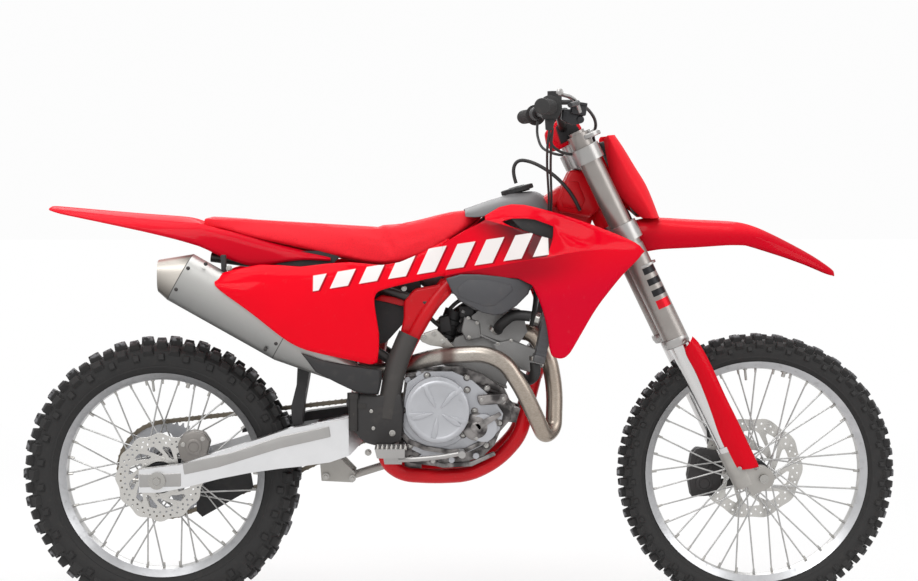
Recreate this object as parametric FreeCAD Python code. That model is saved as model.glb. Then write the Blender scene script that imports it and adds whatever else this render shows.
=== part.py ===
import FreeCAD, Part
import math
import os

# overall layout, in millimetres
wheelbase = 1485.0
body_width = 480.0
pivot_shares = (0.3609, 0.3273)
rider_shares = (0.2990, 0.6512)
sliver_gap = 0.3
guard_fit_gap = 0.03
soft_gap = 0.3
cut_overrun = 5.0
turn_limit = 0.02
bend_share = 0.45

# steering
rake = math.radians(26.0)
fork_shares = (0.7138, 0.7549)
stem_offset = 22.0
fork_half_spacing = 100.0
head_tube_radius = 29.0
head_tube_from = 9.0

# front wheel
front_tyre_radius = 348.0
front_tyre_half_width = 38.0
front_knob_height = 12.0
front_rim_radius = 279.0
front_pitch_count = 33

# rear wheel
rear_tyre_radius = 346.0
rear_tyre_half_width = 49.0
rear_knob_height = 16.0
rear_rim_radius = 255.5
rear_pitch_count = 34

# wheel details shared by both ends
rim_depth = 17.0
rim_wall = 3.0
spoke_count = 36
spoke_radius = 2.0
spoke_lean = math.radians(58.0)
disc_thickness = 3.0
running_gap = 0.3
body_gap = 5.0

# drive chain
chain_pitch = 15.875
chain_roller_radius = 5.08
chain_width = 15.0
chain_plate = 2.2
chain_plate_height = 13.0
chain_y = 72.0
sprocket_teeth = 48
pinion_teeth = 13
upper_run_pitches = 39
drive_length = 624.5
sprocket_thickness = 5.0


def vec(x, y, z):
    return FreeCAD.Vector(x, y, z)


def side_points(shares, y):
    return [vec(x * wheelbase, y, z * wheelbase) for x, z in shares]


def route_points(shares):
    return [vec(x * wheelbase, y * body_width, z * wheelbase) for x, y, z in shares]


def closed_wire(points):
    return Part.makePolygon(points + points[:1])


def plate(shares, y_low, y_high):
    face = Part.Face(closed_wire(side_points(shares, y_low)))
    return face.extrude(vec(0, y_high - y_low, 0))


def spline(points):
    curve = Part.BSplineCurve()
    curve.interpolate(points)
    return curve.toShape()


def smooth_ring(points):
    curve = Part.BSplineCurve()
    curve.interpolate(Points=points, PeriodicFlag=True)
    return Part.Wire([curve.toShape()])


def mirrored(shape):
    return shape.mirror(vec(0, 0, 0), vec(0, 1, 0))


def fused(shapes):
    whole = shapes[0].fuse(shapes[1:])
    return whole.removeSplitter()


def pair(shape):
    return Part.makeCompound([shape, mirrored(shape)])


def rod(start, end, radius):
    along = end - start
    return Part.makeCylinder(radius, along.Length, start, along)


def cross_rod(shares, y_low, y_high, radius):
    x, z = shares
    low = vec(x * wheelbase, y_low, z * wheelbase)
    high = vec(x * wheelbase, y_high, z * wheelbase)
    return rod(low, high, radius)


def bent_path(points):
    edges = []
    start = points[0]
    for before, corner, after in zip(points, points[1:], points[2:]):
        back = before - corner
        ahead = after - corner
        turn = math.pi - back.getAngle(ahead)
        if turn < turn_limit:
            continue
        reach = bend_share * min(back.Length, ahead.Length)
        back.normalize()
        ahead.normalize()
        bend_radius = reach / math.tan(turn / 2)
        inward = back + ahead
        inward.normalize()
        first = corner + back * reach
        last = corner + ahead * reach
        middle = corner + inward * (bend_radius / math.cos(turn / 2) - bend_radius)
        edges.append(Part.LineSegment(start, first).toShape())
        edges.append(Part.Arc(first, middle, last).toShape())
        start = last
    edges.append(Part.LineSegment(start, points[-1]).toShape())
    return Part.Wire(edges)


def pipe(points, radius):
    path = bent_path(points)
    circle = Part.makeCircle(radius, points[0], points[1] - points[0])
    return path.makePipeShell([Part.Wire([circle])], True, False)


def loft(wires):
    return Part.makeLoft(wires, True, False)


def spun(profile, centre):
    points = [centre + vec(radius, y, 0) for radius, y in profile]
    face = Part.Face(closed_wire(points))
    return face.revolve(centre, vec(0, 1, 0), 360)


def strip(points, thickness):
    inner = []
    for index, point in enumerate(points):
        before = points[max(index - 1, 0)]
        after = points[min(index + 1, len(points) - 1)]
        run = after - before
        normal = vec(0, -run.z, run.y)
        normal.normalize()
        inner.append(point + normal * thickness)
    outer_edge = spline(points)
    inner_edge = spline(inner[::-1])
    end_edge = Part.makeLine(points[-1], inner[-1])
    start_edge = Part.makeLine(inner[0], points[0])
    return Part.Wire([outer_edge, end_edge, inner_edge, start_edge])


def station_points(x_share, pair_shares):
    return [vec(x_share * wheelbase, y * body_width, z * wheelbase) for y, z in pair_shares]


def skin(stations, thickness):
    return loft([strip(station_points(x, pairs), thickness) for x, pairs in stations])


def body_loft(stations):
    wires = []
    for x, pairs in stations:
        near = station_points(x, pairs)
        far = [vec(p.x, -p.y, p.z) for p in near[-2:0:-1]]
        wires.append(smooth_ring(near + far))
    return loft(wires)


# steering line
steer_down = vec(math.sin(rake), 0, -math.cos(rake))
steer_forward = vec(math.cos(rake), 0, math.sin(rake))
fork_top = vec(fork_shares[0] * wheelbase, 0, fork_shares[1] * wheelbase)


def fork_place(down, y, forward):
    return fork_top + steer_down * down + steer_forward * forward + vec(0, y, 0)


def stem_place(down):
    return fork_place(down, 0, -stem_offset)


front_centre = vec(wheelbase, 0, front_tyre_radius)
rear_centre = vec(0, 0, rear_tyre_radius)
axle_down = (front_centre - fork_top).dot(steer_down)


# tyres, faceted, one pitch repeated round the wheel
tread_edge_share = 0.36
shoulder_half_share = 0.97
shoulder_height_share = 0.62
wall_height_share = 0.25
wall_half_share = 0.95
knob_inset = 2.5
bed_half_width_front = 27.0
bed_half_width_rear = 35.0


def turned(point, angle):
    x = point[0] * math.cos(angle)
    z = point[0] * math.sin(angle)
    return vec(x, point[1], z)


def knob_faces(corners, height):
    base = closed_wire(corners)
    top_wire = base.makeOffset2D(-knob_inset, 2)
    normal = (corners[2] - corners[1]).cross(corners[1] - corners[0])
    normal.normalize()
    top = []
    for corner in corners:
        near = min(top_wire.Vertexes, key=lambda v: v.Point.distanceToPoint(corner))
        top.append(near.Point + normal * height)
    faces = [top]
    for index in range(4):
        after = (index + 1) % 4
        faces.append([corners[index], corners[after], top[after], top[index]])
    return faces


def tyre_pitch(section, bed_radius, bed_half_width, pitch_angle, knob_height):
    faces = []
    rings = [(bed_radius, bed_half_width)] + section
    rings = rings + [(radius, -y) for radius, y in rings[::-1]]
    first = [turned(ring, 0) for ring in rings]
    last = [turned(ring, pitch_angle) for ring in rings]
    middle = [(a + b) / 2 for a, b in zip(first, last)]
    edge_ring = len(section)
    for index in range(len(rings) - 1):
        corners = [first[index], first[index + 1], last[index + 1], last[index]]
        low = [first[index], first[index + 1], middle[index + 1], middle[index]]
        high = [middle[index], middle[index + 1], last[index + 1], last[index]]
        if index == edge_ring:
            faces = faces + knob_faces(low, knob_height) + [high]
        elif index in (edge_ring - 1, edge_ring + 1):
            faces = faces + knob_faces(high, knob_height) + [low]
        elif index == edge_ring - 2:
            faces.append([first[index], first[index + 1], middle[index + 1], last[index + 1], last[index]])
        elif index == edge_ring + 2:
            faces.append([first[index], first[index + 1], last[index + 1], last[index], middle[index]])
        else:
            faces.append(corners)
    faces.append([first[-1], first[0], last[0], last[-1]])
    return faces


def tyre(tyre_radius, half_width, knob_height, bed_radius, bed_half_width, pitch_count, centre):
    pitch_angle = 2 * math.pi / pitch_count
    corner_radius = (bed_radius + running_gap) / math.cos(pitch_angle / 2)
    base_radius = tyre_radius - knob_height
    wall = base_radius - corner_radius
    section = [
        (corner_radius + wall * wall_height_share, half_width * wall_half_share),
        (corner_radius + wall * shoulder_height_share, half_width * shoulder_half_share),
        (base_radius, half_width * tread_edge_share),
    ]
    half_chord = base_radius * math.sin(pitch_angle / 2) - knob_inset
    facet_radius = base_radius * math.cos(pitch_angle / 2)
    knob_rise = math.sqrt(tyre_radius ** 2 - half_chord ** 2) - facet_radius
    pattern = tyre_pitch(section, corner_radius, bed_half_width, pitch_angle, knob_rise)
    faces = []
    for index in range(pitch_count):
        turn = FreeCAD.Rotation(vec(0, 1, 0), -math.degrees(pitch_angle) * index)
        for points in pattern:
            placed = [centre + turn.multVec(point) for point in points]
            faces.append(Part.Face(closed_wire(placed)))
    shell = Part.makeShell(faces)
    shell.sewShape()
    solid = Part.makeSolid(shell)
    if solid.Volume < 0:
        solid.reverse()
    return solid


front_tyre = tyre(
    front_tyre_radius,
    front_tyre_half_width,
    front_knob_height,
    front_rim_radius,
    bed_half_width_front,
    front_pitch_count,
    front_centre,
)
rear_tyre = tyre(
    rear_tyre_radius,
    rear_tyre_half_width,
    rear_knob_height,
    rear_rim_radius,
    bed_half_width_rear,
    rear_pitch_count,
    rear_centre,
)


# hubs and axles
front_axle_radius = 11.0
front_hub_half_width = 34.0
front_flange_radius = 31.0
front_flange_offset = 26.0
front_flange_thickness = 5.0
front_barrel_radius = 20.0
front_axle_bore = 7.0
rear_axle_radius = 12.5
rear_axle_bore = 6.5
rear_flange_radius = 45.0
rear_flange_offset = 36.0
rear_flange_thickness = 6.0
rear_barrel_radius = 27.0
sprocket_carrier_radius = 50.0
disc_carrier_radius = 36.0
front_disc_radius = 130.0
front_disc_y = 48.0
rear_disc_radius = 110.0
rear_disc_y = -64.0
bed_share = 0.6
well_share = 0.62
spoke_spread_share = 0.15


def rim(radius, half_width):
    bed = radius - rim_depth
    profile = [
        (radius, half_width),
        (radius, half_width - rim_wall),
        (bed + rim_wall * 2, half_width * bed_share),
        (bed + rim_wall, 0),
        (bed + rim_wall * 2, -half_width * bed_share),
        (radius, rim_wall - half_width),
        (radius, -half_width),
        (bed, -half_width * well_share),
        (bed - rim_wall, 0),
        (bed, half_width * well_share),
    ]
    return profile


def spokes(centre, rim_inner, flange_radius, flange_half_width, rim_half_width):
    rods = []
    for index in range(spoke_count):
        side = 1 - 2 * (index % 2)
        lean = spoke_lean * (1 - 2 * ((index // 2) % 2))
        rim_angle = 2 * math.pi * index / spoke_count
        hub_angle = rim_angle + lean
        hub_radius = flange_radius + spoke_radius + running_gap
        inner = turned((hub_radius, side * flange_half_width), hub_angle)
        outer = turned((rim_inner + rim_wall, side * rim_half_width), rim_angle)
        rods.append(rod(centre + inner, centre + outer, spoke_radius))
    return rods


def laced_rim(centre, radius, half_width, flange_radius, flange_half_width):
    hoop = spun(rim(radius, half_width), centre)
    inner = radius - rim_depth - rim_wall
    rods = spokes(centre, inner, flange_radius, flange_half_width, half_width * spoke_spread_share)
    return hoop.fuse(rods)


front_rim = laced_rim(
    front_centre,
    front_rim_radius,
    bed_half_width_front,
    front_flange_radius,
    front_flange_offset + front_flange_thickness / 2,
)
rear_rim = laced_rim(
    rear_centre,
    rear_rim_radius,
    bed_half_width_rear,
    rear_flange_radius,
    rear_flange_offset + rear_flange_thickness / 2,
)


def hub(centre, bore, barrel, flange, flange_offset, flange_thickness, left, right):
    left_radius, left_end = left
    right_radius, right_end = right
    flange_end = flange_offset + flange_thickness
    profile = [
        (bore, left_end),
        (left_radius, left_end),
        (left_radius, flange_end),
        (flange, flange_end),
        (flange, flange_offset),
        (barrel, flange_offset - flange_thickness),
        (barrel, flange_thickness - flange_offset),
        (flange, -flange_offset),
        (flange, -flange_end),
        (right_radius, -flange_end),
        (right_radius, -right_end),
        (bore, -right_end),
    ]
    return spun(profile, centre)


front_hub = hub(
    front_centre,
    front_axle_radius + running_gap,
    front_barrel_radius,
    front_flange_radius,
    front_flange_offset,
    front_flange_thickness,
    (front_flange_radius - rim_wall, front_disc_y - disc_thickness / 2),
    (front_barrel_radius, front_hub_half_width),
)
rear_hub = hub(
    rear_centre,
    rear_axle_radius + running_gap,
    rear_barrel_radius,
    rear_flange_radius,
    rear_flange_offset,
    rear_flange_thickness,
    (sprocket_carrier_radius, chain_y - sprocket_thickness / 2),
    (disc_carrier_radius, -rear_disc_y - disc_thickness / 2),
)


# brake discs with a waved rim
disc_wave_count = 12
disc_wave_share = 0.035
disc_hole_radius = 4.0
disc_hole_share = 0.88
disc_window_share = 0.62
disc_window_radius_share = 0.145
disc_window_count = 8


def brake_disc(centre, radius, y, bore_radius):
    points = []
    steps = disc_wave_count * 4
    for index in range(steps):
        angle = 2 * math.pi * index / steps
        wave = 1 - disc_wave_share / 2 + disc_wave_share / 2 * math.cos(angle * disc_wave_count)
        points.append(centre + turned((radius * wave, y - disc_thickness / 2), angle))
    outline = Part.Face(smooth_ring(points))
    blank = outline.extrude(vec(0, disc_thickness, 0))
    cutters = []
    low = y - disc_thickness / 2 - cut_overrun
    high = y + disc_thickness / 2 + cut_overrun
    cutters.append(rod(centre + vec(0, low, 0), centre + vec(0, high, 0), bore_radius))
    for index in range(disc_wave_count * 2):
        angle = math.pi * index / disc_wave_count
        share = disc_hole_share - disc_wave_share * (index % 2) * 2
        start = centre + turned((radius * share, low), angle)
        end = centre + turned((radius * share, high), angle)
        cutters.append(rod(start, end, disc_hole_radius))
    for index in range(disc_window_count):
        angle = 2 * math.pi * (index + 1 / 2) / disc_window_count
        start = centre + turned((radius * disc_window_share, low), angle)
        end = centre + turned((radius * disc_window_share, high), angle)
        cutters.append(rod(start, end, radius * disc_window_radius_share))
    return blank.cut(cutters)


front_disc = brake_disc(front_centre, front_disc_radius, front_disc_y, front_barrel_radius)
rear_disc = brake_disc(rear_centre, rear_disc_radius, rear_disc_y, rear_barrel_radius)


# sprockets and chain
pitch_radius = chain_pitch / (2 * math.sin(math.pi / sprocket_teeth))
pinion_radius = chain_pitch / (2 * math.sin(math.pi / pinion_teeth))
drive_slope = math.radians(14.5)
upper_run = upper_run_pitches * chain_pitch
pinion_centre = rear_centre + vec(math.cos(drive_slope), 0, math.sin(drive_slope)) * drive_length
tangent_angle = math.acos((pitch_radius - pinion_radius) / drive_length)
leave_angle = drive_slope + tangent_angle
leave_point = rear_centre + vec(math.cos(leave_angle), 0, math.sin(leave_angle)) * pitch_radius
reach_to_pinion = leave_point - pinion_centre
turn_cosine = reach_to_pinion.Length ** 2 + pinion_radius ** 2 - upper_run ** 2
turn_cosine = turn_cosine / (2 * reach_to_pinion.Length * pinion_radius)
arrive_angle = math.atan2(reach_to_pinion.z, reach_to_pinion.x) - math.acos(turn_cosine)
tooth_rise = 3.6
seat_gap = 0.4
tip_share = 0.13
seat_share = 0.14
sprocket_hole_count = 8
sprocket_hole_radius = 15.0
sprocket_hole_share = 0.66


def toothed_plate(centre, teeth, radius, first_angle):
    step = 2 * math.pi / teeth
    seat_radius = radius - chain_roller_radius - seat_gap
    flank = (chain_roller_radius + seat_gap) / radius
    points = []
    for index in range(teeth):
        angle = first_angle + step * index
        tooth = angle + step / 2
        points.append(turned((seat_radius, 0), angle - step * seat_share))
        points.append(turned((seat_radius, 0), angle + step * seat_share))
        points.append(turned((radius, 0), angle + flank))
        points.append(turned((radius + tooth_rise, 0), tooth - step * tip_share))
        points.append(turned((radius + tooth_rise, 0), tooth + step * tip_share))
        points.append(turned((radius, 0), angle + step - flank))
    low = centre + vec(0, chain_y - sprocket_thickness / 2, 0)
    face = Part.Face(closed_wire([low + point for point in points]))
    return face.extrude(vec(0, sprocket_thickness, 0))


def sprocket():
    blank = toothed_plate(rear_centre, sprocket_teeth, pitch_radius, leave_angle)
    low = chain_y - sprocket_thickness / 2 - cut_overrun
    high = chain_y + sprocket_thickness / 2 + cut_overrun
    cutters = [rod(rear_centre + vec(0, low, 0), rear_centre + vec(0, high, 0), rear_barrel_radius)]
    for index in range(sprocket_hole_count):
        angle = 2 * math.pi * index / sprocket_hole_count
        start = rear_centre + turned((pitch_radius * sprocket_hole_share, low), angle)
        end = rear_centre + turned((pitch_radius * sprocket_hole_share, high), angle)
        cutters.append(rod(start, end, sprocket_hole_radius))
    return blank.cut(cutters)


def chain_pins():
    pins = []
    sprocket_step = 2 * math.pi / sprocket_teeth
    pinion_step = 2 * math.pi / pinion_teeth
    wrap_count = math.floor((2 * math.pi - 2 * tangent_angle) / sprocket_step)
    for index in range(wrap_count, -1, -1):
        pins.append(rear_centre + turned((pitch_radius, 0), leave_angle + sprocket_step * index))
    upper_start = pins[-1]
    upper_end = pinion_centre + turned((pinion_radius, 0), arrive_angle)
    for index in range(1, upper_run_pitches):
        pins.append(upper_start + (upper_end - upper_start) * (index / upper_run_pitches))
    nose_count = round(2 * tangent_angle / pinion_step)
    for index in range(nose_count + 1):
        pins.append(pinion_centre + turned((pinion_radius, 0), arrive_angle - pinion_step * index))
    lower_start = pins[-1]
    lower_end = pins[0]
    span = lower_end - lower_start
    slack_count = math.ceil(span.Length / chain_pitch)
    slack_count = slack_count + (slack_count + len(pins) - 1) % 2
    front_count = slack_count // 2
    rear_count = slack_count - front_count
    front_run = front_count * chain_pitch
    rear_run = rear_count * chain_pitch
    along = (front_run ** 2 - rear_run ** 2 + span.Length ** 2) / (2 * span.Length)
    sag = math.sqrt(front_run ** 2 - along ** 2)
    span.normalize()
    down = vec(span.z, 0, -span.x)
    if down.z > 0:
        down = down * -1
    low_pin = lower_start + span * along + down * sag
    for index in range(1, front_count + 1):
        pins.append(lower_start + (low_pin - lower_start) * (index / front_count))
    for index in range(1, rear_count):
        pins.append(low_pin + (lower_end - low_pin) * (index / rear_count))
    return pins


def chain_band(pins, y_low, y_high):
    outer = []
    inner = []
    for index, pin in enumerate(pins):
        before = pin - pins[index - 1]
        after = pins[(index + 1) % len(pins)] - pin
        turn = before.getAngle(after)
        if turn < turn_limit:
            continue
        before.normalize()
        after.normalize()
        run = before + after
        run.normalize()
        normal = vec(run.z, 0, -run.x) * (chain_plate_height / 2 / math.cos(turn / 2))
        outer.append(pin - normal + vec(0, y_low, 0))
        inner.append(pin + normal + vec(0, y_low, 0))
    band = Part.Face(closed_wire(outer)).cut(Part.Face(closed_wire(inner)))
    if band.Area < 1:
        band = Part.Face(closed_wire(inner)).cut(Part.Face(closed_wire(outer)))
    return band.extrude(vec(0, y_high - y_low, 0))


def chain():
    pins = chain_pins()
    inner_half = chain_width / 2 - chain_plate
    left = chain_band(pins, chain_y + inner_half, chain_y + chain_width / 2)
    right = chain_band(pins, chain_y - chain_width / 2, chain_y - inner_half)
    rollers = []
    for index, pin in enumerate(pins):
        run = pins[(index + 1) % len(pins)] - pins[index - 1]
        run.normalize()
        side = vec(run.z, 0, -run.x)
        base = pin + vec(0, chain_y - inner_half, 0)
        corners = [run, side, run * -1, side * -1]
        face = Part.Face(closed_wire([base + corner * chain_roller_radius for corner in corners]))
        rollers.append(face.extrude(vec(0, 2 * inner_half, 0)))
    return left.fuse(rollers + [right])


rear_sprocket = sprocket()
drive_chain = chain()
pinion = toothed_plate(pinion_centre, pinion_teeth, pinion_radius, arrive_angle)


# front axle, fork and clamps
upper_tube_radius = 28.0
lower_tube_radius = 30.5
slider_radius = 24.0
fork_top_reach = 76.0
fork_cap_height = 8.0
outer_tube_end = 494.0
thick_tube_start = 226.0
upper_clamp_top = -42.0
upper_clamp_end = -4.0
lower_clamp_top = 168.0
lower_clamp_end = 212.0
clamp_wall = 10.0
clamp_web = 46.0
lug_start = 770.0
lug_radius = 29.0
lug_half_width = 26.0
lug_nose_radius = 27.0
axle_head_radius = 17.0
axle_head_length = 12.0
stem_radius = 24.0
stem_nut_radius = 20.0
stem_nut_height = 12.0
fork_cap_share = 0.72


def fork_tube(side):
    y = side * fork_half_spacing
    top = fork_place(-fork_top_reach, y, 0)
    cap = rod(top - steer_down * fork_cap_height, top, upper_tube_radius * fork_cap_share)
    upper = rod(top, fork_place(thick_tube_start, y, 0), upper_tube_radius)
    lower = rod(fork_place(thick_tube_start, y, 0), fork_place(outer_tube_end, y, 0), lower_tube_radius)
    return fused([upper, lower, cap])


lug_nose_share = 0.8


def fork_leg(side):
    y = side * fork_half_spacing
    slider = rod(fork_place(outer_tube_end + running_gap, y, 0), fork_place(lug_start, y, 0), slider_radius)
    collar = rod(fork_place(lug_start, y, 0), fork_place(axle_down, y, 0), lug_radius)
    nose = rod(
        front_centre + vec(0, y - lug_half_width, 0),
        front_centre + vec(0, y + lug_half_width, 0),
        lug_nose_radius,
    )
    bridge_points = [
        fork_place(axle_down - lug_radius * 2, y - lug_half_width, 0),
        front_centre + steer_forward * lug_nose_radius * lug_nose_share + vec(0, y - lug_half_width, 0),
        front_centre + steer_down * lug_nose_radius + vec(0, y - lug_half_width, 0),
        fork_place(axle_down + lug_nose_radius, y - lug_half_width, 0),
    ]
    bridge = Part.Face(closed_wire(bridge_points)).extrude(vec(0, 2 * lug_half_width, 0))
    leg = fused([slider, collar, bridge, nose])
    hole = rod(
        front_centre + vec(0, y - lug_half_width - cut_overrun, 0),
        front_centre + vec(0, y + lug_half_width + cut_overrun, 0),
        front_axle_radius + sliver_gap,
    )
    return leg.cut(hole)


guard_seat_share = 0.8


def clamp(top_down, end_down, tube_radius, centre_radius):
    outer = tube_radius + clamp_wall
    length = end_down - top_down
    centre = fork_place(top_down, 0, -stem_offset)
    boss = Part.makeCylinder(centre_radius, length, centre, steer_down)
    pieces = [boss]
    for side in (1, -1):
        y = side * fork_half_spacing
        pieces.append(Part.makeCylinder(outer, length, fork_place(top_down, y, 0), steer_down))
        web_points = [
            fork_place(top_down, 0, -stem_offset - clamp_web / 2),
            fork_place(top_down, 0, -stem_offset + clamp_web / 2),
            fork_place(top_down, y, outer * guard_seat_share),
            fork_place(top_down, y, -outer * guard_seat_share),
        ]
        pieces.append(Part.Face(closed_wire(web_points)).extrude(steer_down * length))
    body = fused(pieces)
    for side in (1, -1):
        y = side * fork_half_spacing
        start = fork_place(top_down - cut_overrun, y, 0)
        tube_room = Part.makeCylinder(
            tube_radius + guard_fit_gap, length + 2 * cut_overrun, start, steer_down
        )
        body = body.cut(tube_room)
    return body


def triple_clamps():
    upper = clamp(upper_clamp_top, upper_clamp_end, upper_tube_radius, stem_radius + clamp_wall)
    lower = clamp(lower_clamp_top, lower_clamp_end, upper_tube_radius, stem_radius + clamp_wall)
    stem = rod(stem_place(upper_clamp_top - stem_nut_height), stem_place(lower_clamp_end), stem_nut_radius)
    return fused([upper, stem, lower])


front_spacer_radius = 17.0
front_axle_half = fork_half_spacing + lug_half_width + axle_head_length


def axle_hollow(centre, half_length, radius):
    reach = vec(0, half_length + cut_overrun, 0)
    return rod(centre - reach, centre + reach, radius)


def front_axle():
    shaft = rod(
        front_centre + vec(0, -front_axle_half, 0),
        front_centre + vec(0, front_axle_half, 0),
        front_axle_radius,
    )
    lug_inner = fork_half_spacing - lug_half_width
    left_start = front_disc_y - disc_thickness / 2 + running_gap
    left = rod(
        front_centre + vec(0, left_start, 0),
        front_centre + vec(0, lug_inner, 0),
        front_spacer_radius,
    )
    right = rod(
        front_centre + vec(0, -front_hub_half_width - running_gap, 0),
        front_centre + vec(0, -lug_inner, 0),
        front_spacer_radius,
    )
    head = rod(
        front_centre + vec(0, fork_half_spacing + lug_half_width, 0),
        front_centre + vec(0, front_axle_half, 0),
        axle_head_radius,
    )
    whole = fused([shaft, left, right, head])
    return whole.cut(axle_hollow(front_centre, front_axle_half, front_axle_bore))


# handlebar, grips and controls
bar_radius = 11.0
bar_shares = (
    (0.6189, 0.8438, 0.8404), (0.6397, 0.5458, 0.8438), (0.6545, 0.3854, 0.8444),
    (0.6680, 0.2292, 0.8108),
)
grip_radius = 16.5
grip_length = 108.0
grip_flange_radius = 27.0
grip_flange_length = 6.0
bar_clamp_y = 47.0
bar_clamp_half = 15.0
bar_clamp_radius = 24.0
pad_shares = (
    (0.6431, 0.8121), (0.6545, 0.8431), (0.6774, 0.8498), (0.7003, 0.8229),
    (0.6936, 0.7987), (0.6815, 0.8121), (0.6680, 0.8256), (0.6532, 0.8121),
)
pad_half_width = bar_clamp_y - bar_clamp_half - soft_gap


def bar_points():
    half = route_points(bar_shares)
    other = [vec(p.x, -p.y, p.z) for p in half]
    return half + other[::-1]


def handlebar():
    return pipe(bar_points(), bar_radius)


def grip(side):
    points = route_points(bar_shares)
    end = vec(points[0].x, side * points[0].y, points[0].z)
    inner = vec(points[1].x, side * points[1].y, points[1].z)
    along = inner - end
    along.normalize()
    cap = end - along * grip_flange_length
    start = end + along * grip_length
    sleeve = rod(cap, start, grip_radius)
    flange = rod(start - along * grip_flange_length, start, grip_flange_radius)
    return sleeve.fuse(flange).cut(handlebar())


def bar_clamps():
    pieces = []
    centre = route_points(bar_shares)[-1]
    for side in (1, -1):
        low = side * bar_clamp_y - bar_clamp_half
        middle = vec(centre.x, low, centre.z)
        block = Part.makeCylinder(bar_clamp_radius, 2 * bar_clamp_half, middle, vec(0, 1, 0))
        depth = upper_clamp_top - (centre - fork_top).dot(steer_down)
        head = middle + vec(0, bar_clamp_half, 0)
        post = rod(head, head + steer_down * depth, bar_clamp_half)
        pieces.append(block.fuse(post).cut(handlebar()))
    return Part.makeCompound(pieces)


lever_radius = 6.0
right_lever_shares = (
    (0.6465, -0.5458, 0.8498), (0.6815, -0.5729, 0.8498), (0.6801, -0.6875, 0.8471),
    (0.6633, -0.8646, 0.8418),
)
left_lever_shares = (
    (0.6465, 0.5458, 0.8498), (0.6815, 0.5729, 0.8498), (0.6801, 0.6875, 0.8471),
    (0.6633, 0.8646, 0.8418),
)
lever_clamp_length = 24.0
lever_clamp_radius = 18.0
reservoir_radius = 17.0
reservoir_height = 26.0
lever_eye_share = 1.6


def lever(shares, side):
    points = route_points(shares)
    blade = pipe(points, lever_radius)
    bar = route_points(bar_shares)
    outer = vec(bar[1].x, side * bar[1].y, bar[1].z)
    inner = vec(bar[2].x, side * bar[2].y, bar[2].z)
    along = inner - outer
    along.normalize()
    start = outer - along * (lever_clamp_length / 2)
    clamp_body = rod(start, start + along * lever_clamp_length, lever_clamp_radius)
    reach = rod(start + along * (lever_clamp_length / 2), points[0], lever_radius * lever_eye_share)
    whole = fused([blade, reach, clamp_body])
    tank_low = points[0] - vec(0, 0, lever_radius)
    tank = rod(tank_low, points[0] + vec(0, 0, reservoir_height), reservoir_radius)
    if side < 0:
        whole = fused([whole, tank])
    return whole.cut(handlebar())


# front fender, number plate and fork guards
fender_stations = (
    (0.7677, ((-0.1146, 0.5939), (-0.1042, 0.6061), (-0.0583, 0.6141),
        (0.0000, 0.6162), (0.0583, 0.6141), (0.1042, 0.6061), (0.1146, 0.5939))),
    (0.8000, ((-0.1208, 0.6007), (-0.1125, 0.6162), (-0.0667, 0.6263),
        (0.0000, 0.6290), (0.0667, 0.6263), (0.1125, 0.6162), (0.1208, 0.6007))),
    (0.8296, ((-0.1333, 0.6094), (-0.1250, 0.6397), (-0.0750, 0.6559),
        (0.0000, 0.6613), (0.0750, 0.6559), (0.1250, 0.6397), (0.1333, 0.6094))),
    (0.8889, ((-0.1458, 0.6141), (-0.1375, 0.6411), (-0.0833, 0.6566),
        (0.0000, 0.6620), (0.0833, 0.6566), (0.1375, 0.6411), (0.1458, 0.6141))),
    (0.9717, ((-0.1500, 0.6175), (-0.1396, 0.6397), (-0.0875, 0.6525),
        (0.0000, 0.6579), (0.0875, 0.6525), (0.1396, 0.6397), (0.1500, 0.6175))),
    (1.0303, ((-0.1375, 0.6034), (-0.1250, 0.6215), (-0.0792, 0.6316),
        (0.0000, 0.6357), (0.0792, 0.6316), (0.1250, 0.6215), (0.1375, 0.6034))),
    (1.0855, ((-0.1000, 0.5852), (-0.0875, 0.5966), (-0.0542, 0.6020),
        (0.0000, 0.6047), (0.0542, 0.6020), (0.0875, 0.5966), (0.1000, 0.5852))),
    (1.1313, ((-0.0417, 0.5697), (-0.0333, 0.5724), (-0.0167, 0.5737),
        (0.0000, 0.5744), (0.0167, 0.5737), (0.0333, 0.5724), (0.0417, 0.5697))),
)
panel_thickness = 3.0
plate_front_shares = (
    (0.7428, 0.8020), (0.7549, 0.8007), (0.7771, 0.7603), (0.8020, 0.7300),
    (0.8162, 0.7017), (0.8283, 0.6680),
)
plate_half_shares = (0.145, 0.175, 0.195, 0.2, 0.18, 0.14)
plate_sweep = 44.0
fender_boss_y = 22.0
fender_boss_forward = 6.0
fender_boss_length = 21.0
fender_boss_radius = 8.0
tray_post_shares = (
    (0.1077, 0.1208, 0.5980),
)
tray_post_height = 75.0
plate_stay_radius = 6.0
plate_stay_down = -15.0


def front_fender():
    pieces = [skin(fender_stations, panel_thickness)]
    for side in (1, -1):
        start = fork_place(lower_clamp_end, side * fender_boss_y, fender_boss_forward)
        pieces.append(rod(start, start + steer_down * fender_boss_length, fender_boss_radius))
    return fused(pieces)


plate_step_shares = (-1, -0.8, -0.4, 0, 0.4, 0.8, 1)
plate_curve_power = 2.4
plate_tab_share = 0.4


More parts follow.
